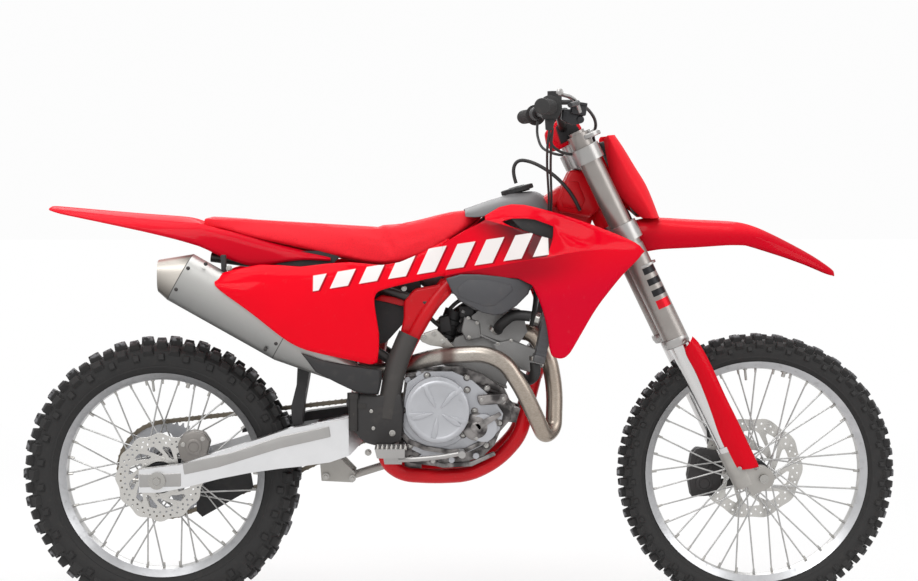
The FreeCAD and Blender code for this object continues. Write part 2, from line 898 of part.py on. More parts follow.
def number_plate(clamp_shape):
    wires = []
    for (x, z), half in zip(plate_front_shares, plate_half_shares):
        y = half * body_width
        outer = []
        inner = []
        for step in plate_step_shares:
            back = plate_sweep * abs(step) ** plate_curve_power
            outer.append(vec(x * wheelbase - back, step * y, z * wheelbase))
            lean = panel_thickness / 2 * step
            inner.append(vec(x * wheelbase - back - panel_thickness, step * y - lean, z * wheelbase))
        inner = inner[::-1]
        edges = [spline(outer), Part.makeLine(outer[-1], inner[0]), spline(inner)]
        edges.append(Part.makeLine(inner[-1], outer[0]))
        wires.append(Part.Wire(edges))
    pieces = [loft(wires)]
    x, z = plate_front_shares[2]
    y = plate_half_shares[2] * body_width * plate_tab_share
    back = plate_sweep * plate_tab_share ** plate_curve_power + panel_thickness / 2
    for side in (1, -1):
        end = vec(x * wheelbase - back, side * y, z * wheelbase)
        pieces.append(rod(fork_place(plate_stay_down, side * y, 0), end, plate_stay_radius))
    return fused(pieces).cut(clamp_shape)


guard_shares = (
    (0.8700, 0.4646), (0.8875, 0.4687), (0.9522, 0.3239), (0.9892, 0.2660),
    (0.9838, 0.2525), (0.9495, 0.2357), (0.9401, 0.2505), (0.9205, 0.2990),
    (0.9091, 0.3488), (0.8727, 0.4108), (0.8471, 0.4364),
)
guard_side_radius = 40.0
guard_wall = 3.0
guard_boss_radius = 6.0
guard_lip_share = 0.25


def fork_guard(side):
    y = side * fork_half_spacing
    start = fork_place(outer_tube_end - body_gap, y, lower_tube_radius * guard_lip_share)
    length = axle_down - outer_tube_end + lug_nose_radius
    outer = Part.makeCylinder(guard_side_radius, length, start, steer_down)
    inner_radius = guard_side_radius - guard_wall
    inner = Part.makeCylinder(inner_radius, length + cut_overrun, start - steer_down, steer_down)
    far = side * (fork_half_spacing + guard_side_radius + cut_overrun)
    near = side * fork_half_spacing
    window = plate(guard_shares, min(near, far), max(near, far))
    shell = outer.cut(inner).common(window)
    boss_start = fork_place(lug_start + lug_radius, y, 0)
    boss_end = boss_start + vec(0, side * (guard_side_radius - guard_wall / 2), 0)
    return fused([shell, rod(boss_start, boss_end, guard_boss_radius)]).cut(fork_leg(side))


# front brake
front_caliper_shares = (
    (0.8956, 0.2613), (0.9387, 0.2680), (0.9495, 0.2222), (0.9455, 0.1919),
    (0.8970, 0.1859), (0.8875, 0.2222),
)
caliper_bracket_shares = (
    (0.9266, 0.2640), (0.9737, 0.2640), (0.9737, 0.2263), (0.9428, 0.2020),
)
caliper_inner_y = 32.0
caliper_slot_half = 7.0
brake_hose_radius = 4.0
brake_hose_shares = (
    (0.6815, -0.4917, 0.8498), (0.6976, -0.3125, 0.8498), (0.7219, -0.0833, 0.8337),
    (0.7327, 0.1292, 0.8175), (0.7266, 0.2083, 0.8027), (0.7414, 0.2083, 0.7684),
    (0.7859, 0.2083, 0.6774), (0.8094, 0.2083, 0.6290), (0.8256, 0.2083, 0.5845),
    (0.8781, 0.2083, 0.4754), (0.8997, 0.1833, 0.4256), (0.9185, 0.1375, 0.3670),
    (0.9266, 0.1292, 0.3030), (0.9279, 0.1292, 0.2673),
)


def slotted(block, centre, radius, y):
    low = centre + vec(0, y - caliper_slot_half, 0)
    slot = Part.makeCylinder(radius + body_gap, 2 * caliper_slot_half, low, vec(0, 1, 0))
    return block.cut(slot)


hub_room_share = 0.62


def front_caliper():
    lug_inner = fork_half_spacing - lug_half_width
    block = plate(front_caliper_shares, caliper_inner_y, lug_inner - sliver_gap)
    hub_end = front_centre + vec(0, fork_half_spacing, 0)
    hub_space = rod(front_centre, hub_end, front_disc_radius * hub_room_share)
    block = slotted(block.cut(hub_space), front_centre, front_disc_radius, front_disc_y)
    bracket_low = front_disc_y + disc_thickness / 2 + body_gap * 2
    bracket = plate(caliper_bracket_shares, bracket_low, lug_inner - sliver_gap)
    return fused([block, bracket]).cut(fork_leg(1))


# main frame
spar_radius = 21.0
spar_tube_share = 0.86
down_tube_radius = 19.0
spar_shares = (
    (0.6734, 0.0333, 0.7071), (0.6094, 0.1000, 0.6633), (0.5118, 0.1833, 0.5926),
    (0.4498, 0.2167, 0.5219), (0.4081, 0.2208, 0.4444), (0.3811, 0.2208, 0.3771),
    (0.3704, 0.2167, 0.3165), (0.3758, 0.1875, 0.2593), (0.4040, 0.1458, 0.2370),
    (0.4579, 0.1333, 0.2330), (0.5158, 0.1333, 0.2357), (0.5643, 0.1292, 0.2613),
    (0.6007, 0.1208, 0.3017), (0.6114, 0.0958, 0.3502), (0.6263, 0.0542, 0.4040),
)
down_tube_shares = (
    (0.7152, 0.0000, 0.6801), (0.6815, 0.0000, 0.5724), (0.6263, 0.0000, 0.3973),
)
pivot_shaft_radius = 10.0
pivot_half_width = 122.0
link_mount_shares = (
    (0.3912, 0.2519),
)
link_mount_radius = 8.0
link_mount_half = 70.0
head_brace_shares = (
    (0.6465, 0.6801), (0.6801, 0.7138), (0.7152, 0.6633), (0.6801, 0.6330),
)
head_brace_half = 20.0


def head_tube():
    start = stem_place(head_tube_from)
    length = lower_clamp_top - head_tube_from - body_gap
    outer = Part.makeCylinder(head_tube_radius, length, start, steer_down)
    bore_start = stem_place(head_tube_from - cut_overrun)
    bore_length = length + 2 * cut_overrun
    bore = Part.makeCylinder(stem_nut_radius + running_gap, bore_length, bore_start, steer_down)
    return outer, bore


def main_frame():
    outer, bore = head_tube()
    spar = pipe(route_points(spar_shares), spar_radius * spar_tube_share)
    down_tube = pipe(route_points(down_tube_shares), down_tube_radius)
    brace = plate(head_brace_shares, -head_brace_half, head_brace_half)
    pivot_shaft = cross_rod(pivot_shares, -pivot_half_width, pivot_half_width, pivot_shaft_radius)
    link_mount = cross_rod(link_mount_shares[0], -link_mount_half, link_mount_half, link_mount_radius)
    body = fused([outer, spar, mirrored(spar), down_tube, brace, pivot_shaft, link_mount])
    return body.cut(bore)


# engine, one block for the closed inside and its open outer forms
case_shares = (
    (0.4081, 0.4027), (0.4411, 0.4189), (0.4983, 0.4189), (0.5387, 0.4040),
    (0.5724, 0.3811), (0.5845, 0.3556), (0.5832, 0.3313), (0.5657, 0.3111),
    (0.5562, 0.2882), (0.5387, 0.2707), (0.5091, 0.2599), (0.4579, 0.2532),
    (0.4162, 0.2586), (0.3973, 0.2774), (0.3987, 0.3138), (0.4040, 0.3636),
)
case_right = 92.0
case_left = 62.0
front_lug_shares = (
    (0.5724, 0.3515), (0.6034, 0.3461), (0.5993, 0.3219), (0.5724, 0.3246),
)
rear_lug_shares = (
    (0.4067, 0.2694), (0.4350, 0.2694), (0.4350, 0.2370), (0.4067, 0.2370),
)
lug_inner = 34.0
lug_outer = 58.0
clutch_cover_shares = (0.4606, 0.3542)
clutch_cover_radius = 76.0
clutch_cover_depth = 34.0
right_cover_shares = (
    (0.4121, 0.3939), (0.4411, 0.4121), (0.4862, 0.4121), (0.5185, 0.3973),
    (0.5535, 0.3670), (0.5697, 0.3421), (0.5643, 0.3165), (0.5428, 0.2936),
    (0.5185, 0.2815), (0.4916, 0.2707), (0.4444, 0.2707), (0.4148, 0.2855),
    (0.4054, 0.3165), (0.4067, 0.3636),
)
right_cover_depth = 22.0
pump_shares = (0.5360, 0.3205)
pump_radius = 34.0
pump_depth = 24.0
left_cover_shares = (0.4880, 0.3460)
left_cover_radius = 78.0
left_cover_depth = 34.0
cylinder_shares = (
    (0.4714, 0.4162), (0.4970, 0.3973), (0.5724, 0.3771), (0.5832, 0.4040),
    (0.5926, 0.4498), (0.5226, 0.4754), (0.4916, 0.4646),
)
cylinder_half = 55.0
head_shares = (
    (0.5226, 0.4754), (0.5926, 0.4498), (0.6114, 0.4754), (0.6034, 0.5064),
    (0.5468, 0.5239), (0.5185, 0.5010),
)
head_half = 66.0


def engine_cases(frame_shape):
    pieces = [plate(case_shares, -case_right, case_left)]
    for lug_shares in (front_lug_shares, rear_lug_shares):
        for side in (1, -1):
            near = side * lug_inner
            far = side * lug_outer
            pieces.append(plate(lug_shares, min(near, far), max(near, far)))
    return fused(pieces).cut(frame_shape)


def engine_covers():
    x, z = clutch_cover_shares
    cover = plate(right_cover_shares, -case_right - right_cover_depth, -case_right)
    low = -case_right - right_cover_depth - clutch_cover_depth
    round_cover = cross_rod(clutch_cover_shares, low, -case_right, clutch_cover_radius)
    pump = cross_rod(pump_shares, -case_right - right_cover_depth - pump_depth, -case_right, pump_radius)
    right = fused([cover, round_cover, pump])
    left = cross_rod(left_cover_shares, case_left, case_left + left_cover_depth, left_cover_radius)
    return Part.makeCompound([right, left])


def cylinder():
    barrel = plate(cylinder_shares, -cylinder_half, cylinder_half)
    head = plate(head_shares, -head_half, head_half)
    return fused([barrel, head]).cut(plate(case_shares, -case_right, case_left))


# exhaust
header_radius = 20.5
header_shares = (
    (0.5926, -0.0625, 0.4754), (0.6229, -0.1083, 0.4714), (0.6478, -0.1292, 0.4310),
    (0.6572, -0.1375, 0.3771), (0.6545, -0.1792, 0.3152), (0.6384, -0.2375, 0.3044),
    (0.6236, -0.2958, 0.3367), (0.6007, -0.3292, 0.3852), (0.5724, -0.3333, 0.4296),
    (0.5387, -0.3292, 0.4444), (0.4949, -0.3042, 0.4418), (0.4525, -0.2250, 0.4350),
    (0.4081, -0.1375, 0.4189), (0.3670, -0.1250, 0.4067), (0.3138, -0.2542, 0.4121),
)
silencer_axis_shares = (
    (0.0418, 0.5684), (0.2155, 0.4700),
)
silencer_y = 122.0
silencer_height = 127.0
silencer_width = 104.0
cone_end_shares = (0.3266, 0.4044)
cap_end_shares = (0.0067, 0.5704)
cap_end_height = 78.0
cap_end_width = 84.0
outlet_relief = 3.0
oval_point_count = 16
oval_power = 0.75


def oval(centre, height_dir, height, width):
    points = []
    for index in range(oval_point_count):
        angle = 2 * math.pi * index / oval_point_count
        up = math.copysign(abs(math.cos(angle)) ** oval_power, math.cos(angle))
        side = math.copysign(abs(math.sin(angle)) ** oval_power, math.sin(angle))
        points.append(centre + height_dir * (up * height / 2) + vec(0, side * width / 2, 0))
    return smooth_ring(points)


cone_share = 2.6


def silencer():
    rear, front = side_points(silencer_axis_shares, -silencer_y)
    along = front - rear
    along.normalize()
    across = vec(-along.z, 0, along.x)
    body = loft([
        oval(rear, across, silencer_height, silencer_width),
        oval(front, across, silencer_height, silencer_width),
    ])
    cone_end = side_points([cone_end_shares], -silencer_y)[0]
    cone = Part.makeLoft([
        oval(front, across, silencer_height, silencer_width),
        oval(cone_end, across, header_radius * cone_share, header_radius * cone_share),
    ], True, True)
    cap_end = side_points([cap_end_shares], -silencer_y)[0]
    cap = Part.makeLoft([
        oval(rear, across, silencer_height, silencer_width),
        oval(cap_end, vec(0, 0, 1), cap_end_height, cap_end_width),
    ], True, True)
    outlet = rod(cap_end, cap_end + along * (silencer_height / 2), header_radius)
    mouth = rod(cap_end - along * header_radius, cap_end, header_radius + outlet_relief)
    return fused([body, cone, cap]).cut([outlet, mouth])


def exhaust_header():
    return pipe(route_points(header_shares), header_radius).cut([cylinder(), silencer()])


# swingarm and rear axle
arm_side_shares = (
    (-0.0303, 0.2505), (0.0135, 0.2559), (0.0377, 0.2586), (0.0707, 0.2707),
    (0.1199, 0.2855), (0.1690, 0.3017), (0.2189, 0.3185), (0.2680, 0.3266),
    (0.3178, 0.3347), (0.3502, 0.3421), (0.3670, 0.3434), (0.3771, 0.3367),
    (0.3785, 0.3232), (0.3704, 0.3125), (0.3434, 0.3003), (0.3172, 0.2734),
    (0.2842, 0.2620), (0.2350, 0.2552), (0.2020, 0.2519), (0.1522, 0.2451),
    (0.1030, 0.2357), (0.0451, 0.2209), (0.0040, 0.2128), (-0.0303, 0.2128),
)
arm_rear_inner = 86.0
arm_rear_outer = 116.0
arm_inner_front = 84.0
arm_outer_front = 112.0
arm_lug_inner = 60.0
arm_lug_outer = 82.0
arm_plan_shares = (-0.06, 0.10, 0.315, 0.345)
arm_bridge_shares = (
    (0.2593, 0.3178), (0.3165, 0.3313), (0.3502, 0.3387), (0.3670, 0.3421),
    (0.3758, 0.3354), (0.3771, 0.3246), (0.3690, 0.3152), (0.3502, 0.3098),
    (0.3165, 0.2909), (0.2707, 0.2707),
)
axle_collar_radius = 18.0
axle_nut_radius = 21.0
axle_nut_length = 12.0
pivot_gap_shares = (
    (0.3367, 0.3771), (0.4040, 0.3771), (0.4040, 0.2828), (0.3367, 0.2828),
)


arm_slot_share = 0.95


def arm_plan(side):
    rear, bend, taper, front = [share * wheelbase for share in arm_plan_shares]
    points = [
        vec(rear, side * arm_rear_inner, 0),
        vec(bend, side * arm_rear_inner, 0),
        vec(front, side * arm_inner_front * arm_slot_share, 0),
        vec(front, side * arm_inner_front, 0),
        vec(taper, side * arm_outer_front, 0),
        vec(bend, side * arm_rear_outer, 0),
        vec(rear, side * arm_rear_outer, 0),
    ]
    return Part.Face(closed_wire(points)).extrude(vec(0, 0, wheelbase))


def swingarm():
    beams = []
    for side in (1, -1):
        far = side * (arm_rear_outer + cut_overrun)
        blank = plate(arm_side_shares, min(0, far), max(0, far))
        beams.append(blank.common(arm_plan(side)))
    bridge = plate(arm_bridge_shares, -arm_lug_outer, arm_lug_outer)
    body = fused(beams + [bridge])
    hole_radius = pivot_shaft_radius + sliver_gap
    pivot_hole = cross_rod(pivot_shares, -pivot_half_width, pivot_half_width, hole_radius)
    middle_gap = plate(pivot_gap_shares, -arm_lug_inner, arm_lug_inner)
    body = body.cut([pivot_hole, middle_gap])
    axle_hole = rod(
        rear_centre - vec(0, arm_rear_outer + cut_overrun, 0),
        rear_centre + vec(0, arm_rear_outer + cut_overrun, 0),
        rear_axle_radius + sliver_gap,
    )
    return body.cut(axle_hole)


def rear_axle():
    half = arm_rear_outer + axle_nut_length
    shaft = rod(rear_centre - vec(0, half, 0), rear_centre + vec(0, half, 0), rear_axle_radius)
    left = rod(
        rear_centre + vec(0, chain_y - sprocket_thickness / 2 + running_gap, 0),
        rear_centre + vec(0, arm_rear_inner, 0),
        axle_collar_radius,
    )
    right = rod(
        rear_centre + vec(0, rear_disc_y + disc_thickness / 2 - running_gap, 0),
        rear_centre - vec(0, arm_rear_inner, 0),
        axle_collar_radius,
    )
    left_nut = rod(rear_centre + vec(0, arm_rear_outer, 0), rear_centre + vec(0, half, 0), axle_nut_radius)
    right_nut = rod(rear_centre - vec(0, arm_rear_outer, 0), rear_centre - vec(0, half, 0), axle_nut_radius)
    whole = fused([shaft, left, right, left_nut, right_nut])
    return whole.cut(axle_hollow(rear_centre, half, rear_axle_bore))


rear_caliper_shares = (
    (0.0269, 0.3044), (0.0404, 0.3125), (0.0700, 0.3044), (0.0848, 0.2828),
    (0.0768, 0.2599), (0.0418, 0.2492),
)
rear_caliper_inner = 44.0


def rear_caliper():
    block = plate(rear_caliper_shares, sliver_gap - arm_rear_inner, -rear_caliper_inner)
    return slotted(block, rear_centre, rear_disc_radius, rear_disc_y)


# seat, tank and cap
seat_stations = (
    (0.0741, ((0.0000, 0.6673), (-0.1083, 0.6653), (-0.1375, 0.6545),
        (-0.1250, 0.6431), (-0.0625, 0.6397), (0.0000, 0.6397))),
    (0.1347, ((0.0000, 0.6646), (-0.1250, 0.6626), (-0.1583, 0.6505),
        (-0.1750, 0.6411), (-0.1042, 0.6357), (0.0000, 0.6357))),
    (0.2202, ((0.0000, 0.6559), (-0.1292, 0.6532), (-0.1708, 0.6384),
        (-0.2042, 0.6236), (-0.1250, 0.6155), (0.0000, 0.6155))),
    (0.2990, ((0.0000, 0.6512), (-0.1208, 0.6485), (-0.1667, 0.6303),
        (-0.2167, 0.6047), (-0.1250, 0.5966), (0.0000, 0.5966))),
    (0.3825, ((0.0000, 0.6485), (-0.1125, 0.6451), (-0.1583, 0.6249),
        (-0.2167, 0.5926), (-0.1250, 0.5845), (0.0000, 0.5845))),
    (0.4498, ((0.0000, 0.6620), (-0.1083, 0.6586), (-0.1542, 0.6397),
        (-0.2083, 0.6128), (-0.1208, 0.6034), (0.0000, 0.6034))),
    (0.5051, ((0.0000, 0.6754), (-0.0917, 0.6727), (-0.1292, 0.6633),
        (-0.1667, 0.6465), (-0.1042, 0.6397), (0.0000, 0.6397))),
    (0.5387, ((0.0000, 0.6774), (-0.0708, 0.6754), (-0.0958, 0.6714),
        (-0.1042, 0.6680), (-0.0625, 0.6653), (0.0000, 0.6653))),
)
tank_stations = (
    (0.4310, ((0.0000, 0.6013), (-0.0833, 0.6007), (-0.1250, 0.5926),
        (-0.1375, 0.5724), (-0.1042, 0.5589), (0.0000, 0.5589))),
    (0.4983, ((0.0000, 0.6357), (-0.0917, 0.6343), (-0.1375, 0.6195),
        (-0.1750, 0.5657), (-0.1250, 0.5387), (0.0000, 0.5387))),
    (0.5387, ((0.0000, 0.6626), (-0.0833, 0.6620), (-0.1458, 0.6465),
        (-0.1917, 0.5724), (-0.1333, 0.5387), (0.0000, 0.5387))),
    (0.5724, ((0.0000, 0.6976), (-0.1042, 0.6936), (-0.1750, 0.6667),
        (-0.2042, 0.5926), (-0.1333, 0.5522), (0.0000, 0.5522))),
    (0.6061, ((0.0000, 0.7044), (-0.1000, 0.7003), (-0.1625, 0.6768),
        (-0.1875, 0.6195), (-0.1167, 0.5791), (0.0000, 0.5791))),
    (0.6397, ((0.0000, 0.7017), (-0.0750, 0.6963), (-0.1250, 0.6761),
        (-0.1458, 0.6397), (-0.0917, 0.6061), (0.0000, 0.6061))),
)
lobe_shares = (
    (0.4795, 0.5643), (0.4949, 0.5306), (0.5232, 0.5138), (0.5643, 0.5104),
    (0.5899, 0.5253), (0.6162, 0.5488), (0.6229, 0.5724), (0.5791, 0.5845),
    (0.5118, 0.5805),
)
lobe_half = 120.0
lobe_inner = 84.0
tank_gap = 2.0
cap_base_shares = (0.5973, 0.7050)
cap_radius = 40.0
cap_height = 24.0
cap_lean = math.radians(12.0)
vent_hose_radius = 4.5
vent_hose_shares = (
    (0.5941, -0.0083, 0.7213), (0.5872, -0.0083, 0.7407), (0.5953, -0.0125, 0.7609),
    (0.6182, -0.0208, 0.7582), (0.6438, -0.0458, 0.7448), (0.6680, -0.0917, 0.7246),
    (0.6896, -0.1042, 0.6976), (0.6990, -0.1042, 0.6761),
)


def seat(gap):
    return body_loft([(x, grown(pairs, gap)) for x, pairs in seat_stations])


def grown(pairs, gap):
    middle_z = (pairs[0][1] + pairs[-1][1]) / 2
    moved = []
    for y, z in pairs:
        up = math.copysign(gap / wheelbase, z - middle_z)
        out = math.copysign(gap / body_width, y) if y else 0
        moved.append((y + out, z + up))
    return moved


spar_room_count = 8


def fuel_tank():
    shell = body_loft(tank_stations)
    lobe = plate(lobe_shares, -lobe_half, -lobe_inner)
    spar_room = pipe(route_points(spar_shares[:spar_room_count]), spar_radius * spar_tube_share + tank_gap)
    brace_room = plate(head_brace_shares, -head_brace_half - tank_gap, head_brace_half + tank_gap)
    head_room = plate(head_shares, -head_half - tank_gap, head_half + tank_gap)
    start, end = route_points(throttle_shares)
    throttle_room = rod(start, end, throttle_radius + tank_gap)
    whole = fused([shell, lobe, mirrored(lobe)])
    room = [seat(soft_gap), spar_room, mirrored(spar_room), brace_room, head_room, throttle_room]
    return whole.cut(room + [radiator(), mirrored(radiator())])


def fuel_cap(tank_shape):
    x, z = cap_base_shares
    base = vec(x * wheelbase, 0, z * wheelbase)
    up = vec(math.sin(cap_lean) * -1, 0, math.cos(cap_lean))
    return Part.makeCylinder(cap_radius, cap_height, base, up).cut(tank_shape)


# shrouds, side panels, rear fender
shroud_shares = (
    (0.5374, 0.6680), (0.5630, 0.6828), (0.5825, 0.6875), (0.5960, 0.6875),
    (0.6283, 0.6815), (0.6613, 0.6714), (0.6936, 0.6620), (0.7212, 0.6519),
    (0.7535, 0.6404), (0.7859, 0.6242), (0.8027, 0.6128), (0.7859, 0.6020),
    (0.7697, 0.5879), (0.7542, 0.5697), (0.7380, 0.5508), (0.7219, 0.5347),
    (0.7158, 0.5279), (0.7057, 0.5104), (0.6902, 0.4747), (0.6774, 0.4505),
    (0.6660, 0.4377), (0.6579, 0.4364), (0.6451, 0.4411), (0.6418, 0.4539),
    (0.6370, 0.4862), (0.6357, 0.4997), (0.6276, 0.5360), (0.6162, 0.5569),
    (0.6034, 0.5650), (0.5791, 0.5663), (0.5300, 0.5697), (0.5057, 0.5731),
    (0.4714, 0.5643), (0.4646, 0.6094), (0.4983, 0.6418),
)
shroud_stations = (
    (0.4579, ((-0.2833, 0.4040), (-0.2792, 0.5118),
        (-0.2667, 0.5791), (-0.2250, 0.6397), (-0.1833, 0.7003))),
    (0.5387, ((-0.2958, 0.4040), (-0.2917, 0.5118),
        (-0.2792, 0.5859), (-0.2333, 0.6532), (-0.1667, 0.7003))),
    (0.6061, ((-0.3667, 0.4040), (-0.3667, 0.5118),
        (-0.3417, 0.5926), (-0.2750, 0.6599), (-0.1917, 0.7003))),
    (0.6734, ((-0.4292, 0.4040), (-0.4292, 0.5118),
        (-0.4125, 0.5926), (-0.3583, 0.6532), (-0.2917, 0.7003))),
    (0.7407, ((-0.4708, 0.4040), (-0.4708, 0.5118),
        (-0.4625, 0.5926), (-0.4333, 0.6465), (-0.3750, 0.7003))),
    (0.8081, ((-0.4958, 0.4040), (-0.4958, 0.5118),
        (-0.4958, 0.5926), (-0.4833, 0.6465), (-0.4583, 0.7003))),
)
side_panel_shares = (
    (0.1010, 0.5670), (0.1044, 0.5508), (0.1401, 0.5266), (0.1724, 0.5017),
    (0.2047, 0.4741), (0.2323, 0.4532), (0.2539, 0.4478), (0.3024, 0.4384),
    (0.3643, 0.4215), (0.3710, 0.4411), (0.3643, 0.4822), (0.3562, 0.5313),
    (0.3596, 0.5441), (0.3758, 0.5495), (0.4168, 0.5589), (0.4633, 0.5630),
    (0.4566, 0.6088), (0.4330, 0.6054), (0.4000, 0.5919), (0.3758, 0.5886),
    (0.3508, 0.5919), (0.3178, 0.5993), (0.2869, 0.6101), (0.2377, 0.5993),
    (0.2054, 0.5926), (0.1764, 0.5912), (0.1569, 0.5832), (0.1320, 0.5805),
)
side_stations = (
    (0.0808, ((-0.3875, 0.4040), (-0.3917, 0.4714),
        (-0.3917, 0.5387), (-0.3583, 0.5926), (-0.2708, 0.6465))),
    (0.2020, ((-0.3917, 0.4040), (-0.3958, 0.4714),
        (-0.3917, 0.5387), (-0.3542, 0.5926), (-0.2750, 0.6465))),
    (0.2828, ((-0.3458, 0.4040), (-0.3583, 0.4714),
        (-0.3583, 0.5387), (-0.3292, 0.5926), (-0.2750, 0.6465))),
    (0.3636, ((-0.2958, 0.4040), (-0.3083, 0.4714),
        (-0.3125, 0.5387), (-0.2958, 0.5926), (-0.2625, 0.6465))),
    (0.4175, ((-0.2917, 0.4040), (-0.2958, 0.4714),
        (-0.2958, 0.5387), (-0.2833, 0.5926), (-0.2458, 0.6465))),
    (0.4848, ((-0.2958, 0.4040), (-0.2958, 0.4714),
        (-0.2917, 0.5387), (-0.2792, 0.5926), (-0.2333, 0.6465))),
)
rear_fender_stations = (
    (-0.1805, ((-0.1375, 0.6747), (-0.1250, 0.6788), (-0.0708, 0.6815),
        (0.0000, 0.6828), (0.0708, 0.6815), (0.1250, 0.6788), (0.1375, 0.6747))),
    (-0.1010, ((-0.1792, 0.6626), (-0.1667, 0.6694), (-0.0958, 0.6747),
        (0.0000, 0.6768), (0.0958, 0.6747), (0.1667, 0.6694), (0.1792, 0.6626))),
    (-0.0135, ((-0.1917, 0.6451), (-0.1792, 0.6572), (-0.1042, 0.6673),
        (0.0000, 0.6700), (0.1042, 0.6673), (0.1792, 0.6572), (0.1917, 0.6451))),
    (0.0700, ((-0.2000, 0.6209), (-0.1875, 0.6397), (-0.1167, 0.6566),
        (0.0000, 0.6606), (0.1167, 0.6566), (0.1875, 0.6397), (0.2000, 0.6209))),
)
under_tray_stations = (
    (0.0700, ((-0.2000, 0.6209), (-0.1896, 0.6303), (-0.1167, 0.6337),
        (0.0000, 0.6350), (0.1167, 0.6337), (0.1896, 0.6303), (0.2000, 0.6209))),
    (0.1145, ((-0.2062, 0.6034), (-0.1958, 0.6155), (-0.1187, 0.6236),
        (0.0000, 0.6256), (0.1187, 0.6236), (0.1958, 0.6155), (0.2062, 0.6034))),
    (0.1616, ((-0.2125, 0.5845), (-0.2021, 0.5993), (-0.1208, 0.6101),
        (0.0000, 0.6121), (0.1208, 0.6101), (0.2021, 0.5993), (0.2125, 0.5845))),
)
mud_flap_shares = (
    (0.2323, 0.4741), (0.2613, 0.4646), (0.2505, 0.4215), (0.2451, 0.3872),
    (0.2384, 0.3502), (0.2357, 0.3165), (0.2242, 0.3138), (0.2195, 0.3273),
    (0.2182, 0.3502), (0.2276, 0.3872),
)
mud_flap_half = 62.0
boss_radius = 8.0
tank_boss_shares = (
    (0.5737, 0.5737),
)
tank_boss_reach = 146.0
radiator_boss_shares = (
    (0.6364, 0.5320),
)
radiator_boss_reach = 187.0
side_boss_reaches = (157.0, 176.0)


def shroud():
    panel = skin(shroud_stations, -panel_thickness).common(plate(shroud_shares, -body_width, 0))
    tank_boss = cross_rod(tank_boss_shares[0], -tank_boss_reach, -lobe_half, boss_radius)
    radiator_boss = cross_rod(radiator_boss_shares[0], -radiator_boss_reach, -radiator_outer, boss_radius)
    return fused([panel, tank_boss, radiator_boss])


def side_panel(rail_shape):
    panel = skin(side_stations, -panel_thickness).common(plate(side_panel_shares, -body_width, 0))
    bosses = []
    for (x, y, z), reach in zip(subframe_shares[1:3], side_boss_reaches):
        bosses.append(cross_rod((x, z), -reach, -y * body_width, boss_radius))
    return fused([panel] + bosses).cut(rail_shape)


def rear_fender(seat_room, rails):
    pieces = [skin(rear_fender_stations, panel_thickness), skin(under_tray_stations, panel_thickness)]
    for side in (1, -1):
        x, y, low = [share for share in tray_post_shares[0]]
        start = vec(x * wheelbase, side * y * body_width, low * wheelbase)
        pieces.append(rod(start, start + vec(0, 0, tray_post_height), boss_radius))
    return fused(pieces).cut([seat_room] + rails)


def mud_flap(airbox_shape):
    return plate(mud_flap_shares, -mud_flap_half, mud_flap_half).cut(airbox_shape)


# subframe, guards, pegs and small parts
subframe_radius = 12.0
subframe_shares = (
    (0.4498, 0.2125, 0.5226), (0.3165, 0.1667, 0.5670), (0.2020, 0.1500, 0.5845),
    (0.0875, 0.1167, 0.5993),
)
subframe_strut_shares = (
    (0.3811, 0.1750, 0.4310), (0.3165, 0.1750, 0.4714), (0.2222, 0.1583, 0.5387),
    (0.1549, 0.1458, 0.5872),
)
tube_guard_shares = (
    (0.3987, 0.4727), (0.4310, 0.4646), (0.4202, 0.4283), (0.4040, 0.3771),
    (0.4081, 0.3636), (0.4027, 0.3030), (0.3677, 0.2909), (0.3367, 0.3098),
    (0.3354, 0.3690), (0.3717, 0.3973), (0.3825, 0.4310),
)
tube_guard_wall = 12.0
radiator_shares = (
    (0.5993, 0.4310), (0.6357, 0.4229), (0.6667, 0.5791), (0.6316, 0.5872),
)
stay_radius = 6.0
upper_stay_shares = (
    (0.6478, -0.2125, 0.5428), (0.6721, 0.0000, 0.5428),
)
lower_stay_shares = (
    (0.6397, -0.2125, 0.5064), (0.6613, 0.0000, 0.5064),
)
radiator_inner = 100.0
radiator_outer = 166.0
peg_shares = (
    (0.3596, 0.2949), (0.4081, 0.2949), (0.4081, 0.2801), (0.3636, 0.2801),
)
peg_inner = 142.0
peg_bracket_inner = 96.0
peg_outer = 236.0
peg_bracket_shares = (
    (0.3690, 0.2882), (0.4040, 0.2882), (0.4027, 0.2613), (0.3744, 0.2613),
)
shock_shares = (
    (0.3623, 0.0000, 0.4822), (0.3340, 0.0000, 0.3475),
)
shock_radius = 32.0
throttle_shares = (
    (0.4714, 0.0000, 0.4714), (0.5320, 0.0000, 0.5118),
)
throttle_radius = 34.0
link_shares = (
    (0.2640, 0.2788), (0.2801, 0.2828), (0.3246, 0.2370), (0.3205, 0.2222),
    (0.2680, 0.2249),
)
link_outer = 52.0
link_inner = 40.0
pull_rod_shares = (
    (0.3192, 0.0000, 0.2296), (0.3912, 0.0000, 0.2519),
)
pull_rod_radius = 10.0
link_pin_radius = 8.0
chain_guide_shares = (
    (0.0512, 0.1966), (0.0808, 0.2222), (0.0943, 0.2370), (0.1185, 0.2424),
    (0.1441, 0.2263), (0.1481, 0.2020), (0.0606, 0.1522), (0.0512, 0.1616),
)
airbox_shares = (
    (0.2222, 0.5737), (0.3771, 0.5832), (0.4310, 0.5724), (0.4377, 0.5253),
    (0.3771, 0.4579), (0.2896, 0.4444), (0.2357, 0.4646), (0.2020, 0.5253),
)
airbox_half = 70.0
foot_bar_radius = 6.0
pedal_shares = (
    (0.3973, -0.3125, 0.2694), (0.4310, -0.3146, 0.2707), (0.4714, -0.3146, 0.2747),
    (0.5010, -0.3104, 0.2801),
)
pedal_pad_length = 30.0
pedal_pad_radius = 9.0
pedal_pivot_radius = 8.0
